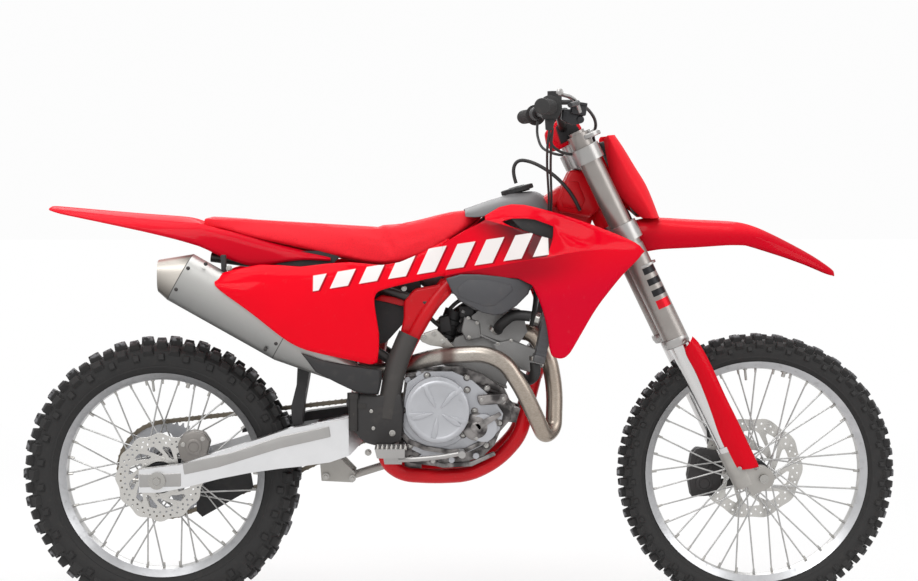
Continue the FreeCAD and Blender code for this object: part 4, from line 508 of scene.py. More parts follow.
def slab(mesh, outline, low, high, bevel=0.0, segments=2):
    part = bmesh.new()
    face = part.faces.new([part.verts.new(at(x, z, low)) for x, z in outline])
    grown = bmesh.ops.extrude_face_region(part, geom=[face])
    moved = [item for item in grown["geom"] if isinstance(item, bmesh.types.BMVert)]
    bmesh.ops.translate(part, verts=moved, vec=Vector((0, (high - low) / 1000, 0)))
    bmesh.ops.recalc_face_normals(part, faces=part.faces)
    if bevel:
        soften(part, bevel / 1000, segments)
    merge(mesh, part)


def lathe(mesh, profile, base, along, steps=48, bevel=0.0, closed=False):  # profile holds reach and radius
    part = bmesh.new()
    along = Vector(along).normalized()
    across = along.orthogonal().normalized()
    line = [part.verts.new(base + along * (reach / 1000) + across * (max(radius, 0.01) / 1000))
            for reach, radius in profile]
    edges = [part.edges.new(pair) for pair in zip(line, line[1:] + line[:1] if closed else line[1:])]
    bmesh.ops.spin(part, geom=line + edges, cent=base, axis=along, angle=math.tau, steps=steps, use_merge=True)
    bmesh.ops.remove_doubles(part, verts=part.verts, dist=0.00002)
    if not closed:
        bmesh.ops.holes_fill(part, edges=[edge for edge in part.edges if edge.is_boundary], sides=steps + 2)
    bmesh.ops.recalc_face_normals(part, faces=part.faces)
    if bevel:
        soften(part, bevel / 1000)
    merge(mesh, part)


def roundCurve(name, points, radius, sides, steps):
    curve = bpy.data.curves.new(name, "CURVE")
    curve.dimensions = "3D"
    curve.bevel_depth = radius / 1000
    curve.bevel_resolution = sides
    curve.resolution_u = steps
    curve.use_fill_caps = True
    spline = curve.splines.new("NURBS")
    spline.points.add(len(points) - 1)
    for target, point in zip(spline.points, points):
        target.co = (*point, 1.0)
    spline.order_u = 3
    spline.use_endpoint_u = True
    return curve


def addCurve(mesh, curve, move=Matrix()):
    carrier = bpy.data.objects.new("line", curve)
    data = bpy.data.meshes.new_from_object(carrier)
    data.transform(move)
    mesh.from_mesh(data)
    bpy.data.objects.remove(carrier)
    bpy.data.curves.remove(curve)
    bpy.data.meshes.remove(data)


def tube(mesh, points, radius, sides=6):
    addCurve(mesh, roundCurve("line", points, radius, sides, 10))


def hexBolt(mesh, place, outward, size=6.0, height=5.0, washer=True):
    if washer:
        lathe(mesh, [(0, 0), (0, size * 0.95), (1.0, size * 0.95), (1.4, size * 0.8), (1.4, 0)], place, outward, 16)
    part = bmesh.new()
    turn = Vector(upward).rotation_difference(Vector(outward).normalized()).to_matrix().to_4x4()
    bmesh.ops.create_cone(part, cap_ends=True, segments=6, radius1=size * 0.62 / 1000, radius2=size * 0.6 / 1000,
                          depth=height / 1000)
    bmesh.ops.translate(part, verts=part.verts, vec=Vector((0, 0, height / 2000 + 0.001)))
    soften(part, 0.0005, 1)
    bmesh.ops.transform(part, matrix=Matrix.Translation(place) @ turn, verts=part.verts)
    merge(mesh, part)


def socketBolt(mesh, place, outward, size=5.0, height=5.0):
    profile = [(0, 0), (0, size), (height * 0.85, size), (height, size * 0.85), (height, size * 0.5),
               (height * 0.4, size * 0.5), (height * 0.4, 0)]
    lathe(mesh, profile, place, outward, 14)


def cage(mesh, rows):
    grid = [[mesh.verts.new(point) for point in row] for row in rows]
    for upper, lower in zip(grid, grid[1:]):
        for i in range(len(upper) - 1):
            mesh.faces.new((upper[i], upper[i + 1], lower[i + 1], lower[i]))
    return grid


def mirrorCopy(mesh):
    copy = bmesh.ops.duplicate(mesh, geom=mesh.verts[:] + mesh.edges[:] + mesh.faces[:])
    for item in copy["geom"]:
        if isinstance(item, bmesh.types.BMVert):
            item.co.y = -item.co.y
    bmesh.ops.reverse_faces(mesh, faces=[item for item in copy["geom"] if isinstance(item, bmesh.types.BMFace)])


def rounded(piece, levels=2, thickness=0.0, offset=-1.0, crease=0.0):
    wall = piece.modifiers.new("wall", "SOLIDIFY")
    wall.thickness = thickness / 1000
    wall.offset = offset
    wall.edge_crease_rim = crease
    wall.use_even_offset = True
    skin = piece.modifiers.new("skin", "SUBSURF")
    skin.levels = levels
    skin.render_levels = levels


def faceOut(mesh, outward):
    bmesh.ops.recalc_face_normals(mesh, faces=mesh.faces)
    if sum(face.normal.dot(Vector(outward)) * face.calc_area() for face in mesh.faces) < 0:
        bmesh.ops.reverse_faces(mesh, faces=mesh.faces)


def gridPiece(name, rows, creases, outward, material, body, stands, wall, rim, mirrored=False, weld=0.0):
    mesh = bmesh.new()
    grid = cage(mesh, rows)
    layer = mesh.edges.layers.float.new("crease_edge")
    for column, amount in creases:
        for upper, lower in zip(grid, grid[1:]):
            mesh.edges.get((upper[column], lower[column]))[layer] = amount
    faceOut(mesh, outward)
    if mirrored:
        mirrorCopy(mesh)
    if weld:
        bmesh.ops.remove_doubles(mesh, verts=mesh.verts, dist=weld)
    rounded(newPiece(name, mesh, material, body, 180, stands), 2, wall, -1.0, rim)


def crownedSheet(name, stations, node, body, material, creases, wall=2.8):  # stations hold x and half a section
    rows = []
    for x, half in stations:
        rows.append([at(x, z, -y) for y, z in reversed(half)] + [at(x, z, y) for y, z in half[1:]])
    middle = len(stations[0][1]) - 1
    columns = [(middle + hand * index, amount) for index, amount in creases for hand in (-1, 1)]
    gridPiece(name, rows, columns, upward, material, body, (node,) if node else (), wall, 0.5)


def build(name, material, body="frame", smooth=34, stands=(), mirrored=False, **values):
    mesh = bmesh.new()
    for outline, low, high, *edge in values.get("slabs", ()):
        slab(mesh, outline, low, high, *edge)
    for profile, place, way, *steps in values.get("turned", ()):
        lathe(mesh, profile, at(*place), way, *steps)
    for line, *size in values.get("tubes", ()):
        tube(mesh, [at(*place) for place in line], *size)
    for place, way, *size in values.get("hexes", ()):
        hexBolt(mesh, at(*place), way, *size)
    for place, way, *size in values.get("sockets", ()):
        socketBolt(mesh, at(*place), way, *size)
    for profile, place, way, steps in values.get("rings", ()):
        lathe(mesh, profile, at(*place), way, steps, closed=True)
    if mirrored:
        mirrorCopy(mesh)
    newPiece(name, mesh, material, body, smooth, stands)


def buildAll(pieces, **common):
    for name, values in pieces.items():
        build(name, **common, **values)


# tyres

frontTyre = {
    "rubber": "frontRubber",
    "centre": frontCentre,
    "profile": [(273, 21), (283, 27), (288, 31.5), (290, 33.6), (293, 33.4), (296, 35), (310, 38), (322, 35.5),
                (329, 26), (332, 12), (333, 0)],
    "count": 40,
    # phase of the pitch, y, radius of the bed, lean in degrees, width, length, height, taper
    "knobs": [(0.0, 9.0, 332.2, 4, 15.0, 20.0, 15.4, 0.84), (0.5, 23.5, 328.2, 28, 16.0, 19.0, 15.0, 0.82),
              (0.0, 34.0, 320.0, 54, 16.0, 20.0, 13.0, 0.8), (0.5, 37.0, 311.0, 74, 13.0, 13.0, 7.0, 0.8)],
}
rearTyre = {
    "rubber": "rearRubber",
    "centre": rearCentre,
    "profile": [(250, 29), (262, 36), (268, 40.5), (271, 42.6), (274, 42.5), (278, 45), (296, 48.5), (310, 47),
                (321, 36), (327, 18), (329, 0)],
    "count": 30,
    "knobs": [(0.0, 12.5, 328.2, 4, 20.0, 26.0, 17.0, 0.84), (0.5, 29.5, 322.6, 26, 21.0, 26.0, 15.0, 0.8),
              (0.0, 43.0, 311.0, 52, 22.0, 27.0, 14.0, 0.78), (0.5, 47.0, 297.0, 76, 18.0, 17.0, 8.0, 0.8)],
}


def away(degrees):  # out from an axle
    return Vector((*polar((0, 0), 1, degrees), 0)).xzy


def knobBlock(width, length, height, taper):
    part = bmesh.new()
    bmesh.ops.create_cube(part, size=1.0)
    for vert in part.verts:
        share, rise = (taper, height) if vert.co.z > 0 else (1.06, -3.0)
        vert.co = Vector((vert.co.x * width * share, vert.co.y * length * share, rise)) / 1000
    topEdges = [edge for edge in part.edges if max(vert.co.z for vert in edge.verts) > 0]
    bmesh.ops.bevel(part, geom=topEdges, offset=0.0011, offset_type="OFFSET", segments=1, profile=0.5, affect="EDGES",
                    material=-1)
    bottom = [face for face in part.faces if face.calc_center_median().z < -0.0029]
    bmesh.ops.delete(part, geom=bottom, context="FACES")
    return part


def knobbedTyre(name, values, body, node):
    mesh = bmesh.new()
    centre = at(*values["centre"])
    section = [(side, radius) for radius, side in values["profile"]]
    section += [(-side, radius) for side, radius in reversed(section[:-1])]
    lathe(mesh, section, centre, outLeft, 144, closed=True)
    pitch = 360 / values["count"]
    for phase, side, bed, lean, width, length, height, taper in values["knobs"]:
        block = knobBlock(width, length, height, taper)
        data = bpy.data.meshes.new("knob")
        block.to_mesh(data)
        block.free()
        tilt = math.radians(lean)
        for index in range(values["count"]):
            for hand in (-1, 1):
                degrees = pitch * (index + phase + 0.06 * hand)
                radial, around = away(degrees), away(degrees + 90)
                outward = radial * math.cos(tilt) + Vector((0, hand, 0)) * math.sin(tilt)
                place = centre + radial * (bed / 1000) + Vector((0, hand * side / 1000, 0))
                turn = Matrix((around.cross(outward), around, outward)).transposed().to_4x4()
                first = len(mesh.verts)
                mesh.from_mesh(data)
                mesh.verts.ensure_lookup_table()
                bmesh.ops.transform(mesh, matrix=Matrix.Translation(place) @ turn, verts=mesh.verts[first:])
        bpy.data.meshes.remove(data)
    newPiece(name, mesh, values["rubber"], body, 32, (node,))


knobbedTyre("frontTyreTread", frontTyre, "front_wheel", "front_tyre")
knobbedTyre("rearTyreTread", rearTyre, "rear_wheel", "rear_tyre")
print("tyres done")


# drive chain

chainSize = {"pitch": 15.875, "teeth": 48, "pinionTeeth": 13, "slope": 14.5, "length": 624.5, "upper": 39, "y": 72.0,
             "inner": (3.9, 5.6), "outer": (5.8, 7.5), "end": 6.1, "pin": [(0, 0), (0, 2.4), (15.8, 2.4), (15.8, 0)],
             "roller": [(4.2, 5.0), (11.6, 5.0)], "reach": 7.9}


def chainPins(values):
    pitch = values["pitch"]
    big = pitch / (2 * math.sin(math.pi / values["teeth"]))
    small = pitch / (2 * math.sin(math.pi / values["pinionTeeth"]))
    rear = Vector(rearCentre)
    slope = math.radians(values["slope"])
    pinion = rear + Vector((math.cos(slope), math.sin(slope))) * values["length"]
    tangent = math.acos((big - small) / values["length"])
    leave = slope + tangent

    def around(centre, radius, angle):
        return centre + Vector((math.cos(angle), math.sin(angle))) * radius

    back = around(rear, big, leave) - pinion
    run = values["upper"] * pitch
    cosine = (back.length ** 2 + small ** 2 - run ** 2) / (2 * back.length * small)
    arrive = math.atan2(back.y, back.x) - math.acos(cosine)
    bigStep = math.tau / values["teeth"]
    smallStep = math.tau / values["pinionTeeth"]
    wraps = math.floor((math.tau - 2 * tangent) / bigStep)
    pins = [around(rear, big, leave + bigStep * index) for index in range(wraps, -1, -1)]
    start, end = pins[-1], around(pinion, small, arrive)
    pins += [start.lerp(end, index / values["upper"]) for index in range(1, values["upper"])]
    nose = round(2 * tangent / smallStep)
    pins += [around(pinion, small, arrive - smallStep * index) for index in range(nose + 1)]
    start, end = pins[-1], pins[0]
    span = end - start
    slack = math.ceil(span.length / pitch)
    slack += (slack + len(pins) - 1) % 2
    front = slack // 2
    rearCount = slack - front
    along = ((front * pitch) ** 2 - (rearCount * pitch) ** 2 + span.length ** 2) / (2 * span.length)
    sag = math.sqrt((front * pitch) ** 2 - along ** 2)
    span.normalize()
    down = Vector((span.y, -span.x))
    if down.y > 0:
        down = -down
    low = start + span * along + down * sag
    pins += [start.lerp(low, index / front) for index in range(1, front + 1)]
    pins += [low.lerp(end, index / rearCount) for index in range(1, rearCount)]
    return pins


def chainLinks():
    mesh = bmesh.new()
    pins = chainPins(chainSize)
    half, y = chainSize["pitch"] / 2, chainSize["y"]
    outline = []
    for side in (1, -1):
        for degrees in (-128, -90, -52, -17, 17, 52, 90, 128):
            along, across = polar((half, 0), chainSize["end"], degrees)
            outline.append((side * along, side * across))
    for index, pin in enumerate(pins):
        following = pins[(index + 1) % len(pins)]
        middle = (pin + following) / 2
        way = (following - pin).normalized()
        spots = [(middle.x + way.x * u - way.y * v, middle.y + way.y * u + way.x * v) for u, v in outline]
        low, high = chainSize["inner"] if index % 2 else chainSize["outer"]
        for hand in (1, -1):
            slab(mesh, spots, y + hand * low, y + hand * high)
        base = at(pin.x, pin.y, y - chainSize["reach"])
        lathe(mesh, chainSize["pin"], base, outLeft, 8)
        lathe(mesh, chainSize["roller"], base, outLeft, 10)
    newPiece("chainLinks", mesh, "chainSteel", "frame", 30, ("chain",))


chainLinks()
print("chain done")


# wheel fittings: nipples, valve stems and rim locks

stems = ((96, 30, 3.2), (74, 14, 5.0))  # angle, length and radius


def wheelFittings(name, centre, rimRadius, count, body):
    mesh = bmesh.new()
    hub = at(*centre)
    for index in range(count):
        radial = away(360 * index / count)
        hand = 1 if index % 2 else -1
        start = hub + radial * (rimRadius / 1000) + Vector((0, hand * 0.0025, 0))
        lathe(mesh, [(0, 0), (0, 3.6), (4, 3.3), (13, 2.6), (14, 0)], start, -radial, 8)
    for degrees, reach, radius in stems:
        radial = away(degrees)
        profile = [(0, 0), (0, radius * 1.8), (4, radius * 1.8), (5, radius), (reach, radius),
                   (reach + 1, radius * 0.6), (reach + 1, 0)]
        lathe(mesh, profile, hub + radial * (rimRadius / 1000), -radial, 12)
    newPiece(name, mesh, "boltSteel", body, 35)


wheelFittings("frontWheelFittings", frontCentre, 261.5, 36, "front_wheel")
wheelFittings("rearWheelFittings", rearCentre, 238.0, 36, "rear_wheel")


# radiator shrouds and side panels: named points, their faces, and creases along rows of points


def panelPair(name, points, faces, creases, material, node, outward=None):
    mesh = bmesh.new()
    verts = {key: mesh.verts.new(at(x, z, y)) for key, (x, z, y) in points.items()}
    for names in faces:
        mesh.faces.new([verts[key] for key in names])
    layer = mesh.edges.layers.float.new("crease_edge")
    for names, amount in creases:
        for pair in zip(names, names[1:]):
            edge = mesh.edges.get([verts[key] for key in pair])
            if edge:
                edge[layer] = amount
                edge.smooth = amount < 0.9
    if outward:
        faceOut(mesh, outward)
    else:
        bmesh.ops.recalc_face_normals(mesh, faces=mesh.faces)
    mirrorCopy(mesh)
    rounded(newPiece(name, mesh, material, "frame", 180, (node,)), 2, 2.6, -1.0, 0.6)


shroudPoints = {
    "t0": (798, 992, -112), "t1": (836, 1014, -108), "t2": (866, 1021, -111), "t3": (896, 1020, -116),
    "t4": (925, 1014, -126), "t5": (972, 1001, -143), "t6": (1010, 990, -156), "t7": (1050, 976, -172),
    "t8": (1100, 957, -196), "t9": (1150, 936, -218), "tip": (1190, 912, -235),
    "b0": (800, 984, -124), "b1": (841, 979, -130), "b2": (866, 987, -135), "b3": (896, 987, -140),
    "b4": (920, 985, -142), "b5": (966, 968, -147), "b6": (995, 947, -165), "b7": (1025, 932, -182),
    "k": (1059, 916, -208), "b9": (1125, 914, -225),
    "d0": (692, 925, -117), "d1": (751, 962, -121), "d4": (882, 965, -137), "d5": (923, 951, -145),
    "m5": (964, 937, -153),
    "c0": (692, 845, -121), "c1": (746, 856, -128), "c2": (790, 864, -134), "c3": (835, 872, -140),
    "c4": (872, 880, -147),
    "c5": (910, 888, -160), "c6": (950, 896, -174), "c7": (1003, 906, -193), "c8": (1035, 911, -203),
    "l0": (700, 843, -122), "l1": (754, 852, -128), "l2": (790, 848, -133), "l3": (835, 842, -138),
    "l4": (880, 840, -146),
    "a1": (914, 857, -166), "e11": (955, 860, -182), "e12": (1005, 866, -196), "e13": (1060, 868, -210),
    "e14": (1134, 864, -227),
    "a2": (911, 826, -172), "e21": (955, 823, -188), "e22": (1000, 822, -200), "e23": (1045, 821, -211),
    "e24": (1101, 820, -222),
    "a3": (928, 792, -177), "e31": (965, 788, -191), "e32": (1000, 786, -201), "e33": (1036, 785, -209),
    "e34": (1072, 784, -217),
    "a4": (945, 743, -180), "e41": (972, 742, -190), "e42": (998, 742, -198), "e43": (1022, 742, -204),
    "e44": (1048, 744, -211),
    "a5": (952, 700, -181), "e51": (971, 699, -188), "e52": (990, 699, -194), "e53": (1008, 699, -199),
    "e54": (1027, 705, -204),
    "a6": (955, 668, -182), "e61": (970, 664, -187), "e62": (982, 662, -191), "e63": (995, 664, -195),
    "e64": (1009, 673, -199),
    "a7": (960, 653, -183), "e71": (970, 649, -186), "e72": (980, 647, -189), "e73": (990, 649, -192),
    "e74": (999, 656, -195),
}
shroudFaces = [
    ("t0", "t1", "b1", "b0"), ("t1", "t2", "b2", "b1"), ("t2", "t3", "b3", "b2"), ("t3", "t4", "b4", "b3"),
    ("t4", "t5", "b5", "b4"), ("t5", "t6", "b6", "b5"), ("t6", "t7", "b7", "b6"), ("t7", "t8", "k", "b7"),
    ("t8", "t9", "b9", "k"), ("t9", "tip", "b9"),
    ("d0", "d1", "c1", "c0"), ("d1", "b0", "c2", "c1"), ("b0", "b1", "c3", "c2"), ("b1", "d4", "c4", "c3"),
    ("d4", "d5", "c5", "c4"), ("d5", "m5", "c6", "c5"), ("m5", "b5", "c7", "c6"), ("b5", "b6", "c8", "c7"),
    ("b6", "b7", "k", "c8"),
    ("c1", "c2", "l2", "l1"), ("c2", "c3", "l3", "l2"), ("c3", "c4", "l4", "l3"), ("c4", "c5", "a1", "l4"),
    ("c0", "c1", "l1", "l0"), ("l4", "a1", "a2"), ("c5", "c6", "e11", "a1"), ("c6", "c7", "e12", "e11"),
    ("c7", "c8", "k", "e13", "e12"), ("k", "b9", "e14", "e13"), ("b9", "tip", "e14"),
    ("a1", "e11", "e21", "a2"), ("e11", "e12", "e22", "e21"), ("e12", "e13", "e23", "e22"),
    ("e13", "e14", "e24", "e23"),
]
for upper, lower in ("23", "34", "45", "56", "67"):
    top, below = (["a" + row] + [f"e{row}{column}" for column in range(1, 5)] for row in (upper, lower))
    shroudFaces += [(top[i], top[i + 1], below[i + 1], below[i]) for i in range(4)]
shroudCreases = [
    (("c0", "c1", "c2", "c3", "c4", "c5", "c6", "c7", "c8", "k"), 0.85), (("b0", "b1", "b2", "b3", "b4", "b5"), 0.5),
    (("b5", "b6", "b7", "k"), 0.8), (("m5", "b5"), 0.7), (("m5", "c6"), 0.9), (("b5", "c7"), 0.6), (("k", "b9"), 0.5),
    (("t0", "t1", "t2", "t3", "t4", "t5", "t6", "t7", "t8", "t9", "tip"), 0.75),
    (("tip", "e14", "e24", "e34", "e44", "e54", "e64", "e74"), 0.8), (("k", "e13", "e23", "e33"), 0.45),
]
shroudEdge = ["t3", "t4", "t5", "t6", "t7", "t8", "t9", "tip", "e14", "e24", "e34", "e44", "e54", "e64", "e74", "e73",
              "e72", "e71", "a7", "a6", "a5", "a4", "a3", "a2"]
shroudFlange = {"middle": (985, 850), "inward": 3.0, "turn": 15}  # returned along the outer edge


def shroudPair():
    points, faces = dict(shroudPoints), list(shroudFaces)
    for name in shroudEdge:
        x, z, y = points[name]
        inward = (Vector(shroudFlange["middle"]) - Vector((x, z))).normalized() * shroudFlange["inward"]
        points["f" + name] = (x + inward.x, z + inward.y, y + shroudFlange["turn"])
    for first, second in zip(shroudEdge, shroudEdge[1:]):
        faces.append((second, first, "f" + first, "f" + second))
    panelPair("shroudPanels", points, faces, shroudCreases, "redShroud", "shrouds")


sidePanel = {
    # x and then (z, y) down the column
    "columns": [
        (148, [(848, -150), (845, -158), (841, -164), (838, -169), (833, -174), (828, -176)]),
        (170, [(857, -146), (850, -160), (838, -172), (828, -178), (816, -181), (808, -180)]),
        (204, [(866, -142), (855, -160), (836, -175), (818, -183), (798, -185), (785, -182)]),
        (256, [(876, -138), (860, -158), (832, -176), (803, -184), (772, -187), (746, -184)]),
        (305, [(874, -135), (852, -157), (818, -174), (782, -183), (740, -186), (704, -183)]),
        (353, [(870, -132), (846, -154), (808, -170), (768, -179), (718, -183), (672, -180)]),
        (413, [(877, -129), (850, -150), (810, -165), (766, -173), (712, -177), (658, -174)]),
        (470, [(881, -127), (853, -146), (812, -159), (766, -166), (706, -169), (645, -166)]),
        (512, [(877, -125), (849, -142), (810, -154), (774, -160), (706, -162), (635, -158)]),
    ],
    "edge": [(550, 873, -123), (540, 842, -137), (534, 808, -149), (530, 780, -154), (546, 706, -156),
             (542, 627, -150)],
    "arm": [[(594, 880, -121), (577, 848, -132), (559, 816, -143)],
            [(643, 901, -119), (631, 866, -128), (619, 830, -137)],
            [(691, 926, -115), (691, 886, -121), (691, 845, -126)],
            [(716, 940, -112), (716, 892, -116), (716, 849, -120)]],
    "flange": (3, 13),  # up and inward along the lower edge
}


def sidePanelPair():
    columns = [[(x, z, y) for z, y in column] for x, column in sidePanel["columns"]]
    columns += [sidePanel["edge"]] + sidePanel["arm"]
    last = len(sidePanel["columns"])
    points = {f"p{i}_{j}": place for i, column in enumerate(columns) for j, place in enumerate(column)}
    faces = []
    for i in range(len(columns) - 1):
        for j in range(5 if i < last else 2):
            faces.append((f"p{i}_{j}", f"p{i + 1}_{j}", f"p{i + 1}_{j + 1}", f"p{i}_{j + 1}"))
    rim = [f"p{i}_5" for i in range(last + 1)] + [f"p{last}_{j}" for j in (4, 3, 2)]
    rim += [f"p{i}_2" for i in range(last + 1, len(columns))]
    rise, turn = sidePanel["flange"]
    for name in rim:
        x, z, y = points[name]
        points["f" + name] = (x, z + rise, y + turn)
    for first, second in zip(rim, rim[1:]):
        faces.append((first, second, "f" + second, "f" + first))
    creases = [(rim, 0.8), ([f"p{i}_1" for i in range(last + 1)], 0.45),
               ([f"p{i}_0" for i in range(len(columns))], 0.9)]
    panelPair("sidePanelPair", points, faces, creases, "redPanel", "side_panels", outRight)


shroudPair()
sidePanelPair()


# fenders

rearFender = [
    (-268, [(0, 1016), (26, 1015), (50, 1012), (58, 1010), (63, 1008), (61, 1005)]),
    (-240, [(0, 1014), (30, 1013), (62, 1008), (72, 1004), (77, 1000), (74, 996)]),
    (-150, [(0, 1006), (36, 1004), (72, 997), (81, 991), (87, 984), (84, 978)]),
    (-28, [(0, 996), (38, 993), (74, 982), (84, 973), (92, 959), (89, 952)]),
    (50, [(0, 992), (40, 987), (76, 972), (87, 960), (95, 941), (91, 933)]),
    (104, [(0, 984), (42, 983), (78, 975), (89, 960), (97, 925), (93, 917)]),
    (122, [(0, 950), (50, 960), (79, 969), (90, 954), (98, 917), (94, 909)]),
    (150, [(0, 930), (56, 944), (80, 962), (91, 948), (99, 903), (95, 895)]),
    (196, [(0, 915), (60, 930), (81, 951), (93, 936), (100, 886), (96, 878)]),
    (240, [(0, 900), (62, 916), (83, 938), (95, 922), (102, 873), (98, 865)]),
    (300, [(0, 880), (64, 898), (85, 922), (98, 910), (104, 884), (100, 877)]),
    (360, [(0, 870), (66, 888), (87, 908), (100, 902), (106, 892), (102, 885)]),
    (428, [(0, 864), (68, 876), (90, 892), (101, 889), (107, 886), (103, 880)]),
]
frontFender = [
    (1150, [(0, 968), (24, 966), (44, 956), (52, 940), (56, 896), (53, 888)]),
    (1192, [(0, 985), (28, 984), (50, 974), (58, 956), (62, 908), (59, 900)]),
    (1232, [(0, 988), (32, 986), (56, 974), (63, 956), (66, 916), (63, 908)]),
    (1320, [(0, 982), (34, 978), (60, 962), (67, 950), (70, 920), (67, 912)]),
    (1400, [(0, 979), (34, 976), (61, 962), (68, 952), (72, 926), (69, 918)]),
    (1450, [(0, 975), (34, 972), (60, 958), (68, 948), (72, 926), (69, 918)]),
    (1497, [(0, 958), (32, 955), (56, 942), (64, 933), (69, 912), (66, 904)]),
    (1566, [(0, 923), (28, 921), (48, 910), (55, 903), (60, 889), (57, 882)]),
    (1620, [(0, 894), (24, 892), (38, 884), (43, 878), (46, 868), (44, 862)]),
    (1660, [(0, 867), (17, 866), (25, 860), (29, 856), (31, 849), (29, 844)]),
    (1678, [(0, 853), (10, 852), (15, 849), (18, 846), (20, 842), (18, 838)]),
]
fenderCreases = {"rear": ((2, 0.55), (3, 0.35), (4, 0.7)), "front": ((2, 0.55), (3, 0.3), (4, 0.7))}
crownedSheet("rearFenderShell", rearFender, "rear_fender", "frame", "redTail", fenderCreases["rear"])
crownedSheet("frontFenderShell", frontFender, "front_fender", "steering", "redFender", fenderCreases["front"])
print("body panels done")


# seat and bar pad: the foam swells a little under its cover

seatCover = {"node": "seat", "body": "frame", "material": "seatVinyl", "voxel": 0.0055, "limit": 0.004, "pressure": 3.0,
             "shrink": 0.0015, "smooth": 4, "fill": 0.9}
padShape = {"node": "bar_pad", "body": "steering", "material": "padCover", "voxel": 0.004, "limit": 0.004,
            "pressure": 3.0, "shrink": 0.0015, "smooth": 6, "fill": 0.85}
# the seat's top falls away: height, where the fall starts, fall per millimetre, and where it ends
seatFalls = ((1008, 752, 0.36, 1000), (987, 106, 0.06, 545))


def paddedPiece(name, values):
    data = nodes[values["node"]].data.copy()
    piece = bpy.data.objects.new(name, data)
    bpy.context.scene.collection.objects.link(piece)
    mesh = bmesh.new()
    mesh.from_mesh(data)
    bmesh.ops.remove_doubles(mesh, verts=mesh.verts, dist=0.0001)
    mesh.to_mesh(data)
    mesh.free()
    remesh = piece.modifiers.new("foam", "REMESH")
    remesh.mode = "VOXEL"
    remesh.voxel_size = values["voxel"]
    shape = bpy.data.meshes.new_from_object(piece.evaluated_get(bpy.context.evaluated_depsgraph_get()))
    piece.modifiers.clear()
    mesh = bmesh.new()
    mesh.from_mesh(shape)
    if values["node"] == "seat":
        for vert in mesh.verts:
            x, z = vert.co.x * 1000 + seatPoint[0], vert.co.z * 1000 + seatPoint[1]
            top = min(height - max(x - start, 0) * fall for height, start, fall, end in seatFalls if x < end)
            vert.co.z += (min(z, top) - z) / 1000
    for turn in range(values["smooth"]):
        bmesh.ops.smooth_vert(mesh, verts=mesh.verts, factor=0.5, use_axis_x=True, use_axis_y=True, use_axis_z=True)
    mesh.normal_update()
    for vert in mesh.verts:
        vert.co -= vert.normal * values["shrink"]
    mesh.to_mesh(shape)
    mesh.free()
    piece.data = shape
    start = [vert.co.copy() for vert in shape.vertices]
    pins = piece.vertex_groups.new(name="base")  # the base holds the underside
    pins.add([vert.index for vert in shape.vertices if vert.normal.z < -0.5], 1.0, "REPLACE")
    cloth = piece.modifiers.new("cover", "CLOTH")
    cloth.settings.quality = 5
    cloth.settings.mass = 0.3
    cloth.settings.tension_stiffness = 40
    cloth.settings.bending_stiffness = 4
    cloth.settings.use_pressure = True
    cloth.settings.uniform_pressure_force = values["pressure"]
    cloth.settings.vertex_group_mass = "base"
    cloth.settings.effector_weights.gravity = 0
    cloth.collision_settings.use_collision = False
    for number in range(1, 15):
        bpy.context.scene.frame_set(number)
    swollen = bpy.data.meshes.new_from_object(piece.evaluated_get(bpy.context.evaluated_depsgraph_get()))
    piece.modifiers.clear()
    for vert, origin in zip(swollen.vertices, start):
        move = vert.co - origin
        if move.length > values["limit"]:
            vert.co = origin + move * (values["limit"] / move.length)
    piece.data = swollen
    bpy.context.scene.frame_set(1)
    piece.data.materials.clear()
    piece.data.materials.append(paint[values["material"]])
    piece.data.polygons.foreach_set("use_smooth", [True] * len(piece.data.polygons))
    skin = piece.modifiers.new("skin", "SUBSURF")
    skin.levels = 1
    skin.render_levels = 1
    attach(piece, values["body"])
    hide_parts(values["node"])


paddedPiece("seatCover", seatCover)
paddedPiece("barPadCover", padShape)
print("seat and pad done")


# engine

clutch = {"centre": (686.0, 517.0), "radius": 77.0, "face": -148.0}
clutchRibs = [((657, 577), (667, 545)), ((620, 508), (655, 515)), ((675, 457), (680, 492)), ((750, 491), (716, 506)),
              ((742, 572), (717, 550))]
boltSpots = [(660, 602), (757, 597), (758, 567), (806, 571), (847, 538), (838, 485), (805, 429), (745, 405), (674, 392),
             (600, 517), (748, 456), (776, 515), (618, 430)]
pump = (780, 477)
generator = (716, 490)
generatorSpots = [polar(generator, 66, 20 + 60 * index) for index in range(6)]
barrelLean = Vector((0.42, 0.907))
clipProfile = [(-5, 14.4), (-5, 15.6), (5, 15.6), (5, 14.4)]


def clutchCap():
    mesh = bmesh.new()
    r = clutch["radius"]
    profile = [(-6, r - 2), (0, r), (3.5, r - 1), (5.5, r - 4), (6, r - 9), (4.6, r - 13), (3.4, r - 16), (3.4, 20),
               (3.4, 0)]
    lathe(mesh, profile, at(*clutch["centre"], clutch["face"] + 3), outRight, 96)
    for ends in clutchRibs:
        start, end = (Vector(spot) for spot in ends)
        way = (end - start).normalized()
        side = Vector((-way.y, way.x))
        foot = start - way * 4
        corners = [foot + side * 6.5, foot - side * 6.5, end - side * 1.6, end + side * 1.6]
        slab(mesh, [tuple(corner) for corner in corners], clutch["face"] - 3.6, clutch["face"] + 2, 1.4)
    newPiece("clutchCap", mesh, "coverAlloy", "frame", 32)


gaskets = ((0, 0, 68), (46, 3, 70), (92, 1, 69))  # reach up the barrel, growth and half width


def gasket(reach, grow):  # a line round the barrel or head
    middle = Vector((800, 590)) + barrelLean * reach
    side = Vector((barrelLean.y, -barrelLean.x)) * (62 + grow)
    rise = barrelLean * 5
    return [tuple(corner) for corner in (middle - side, middle + side, middle + side + rise, middle - side + rise)]


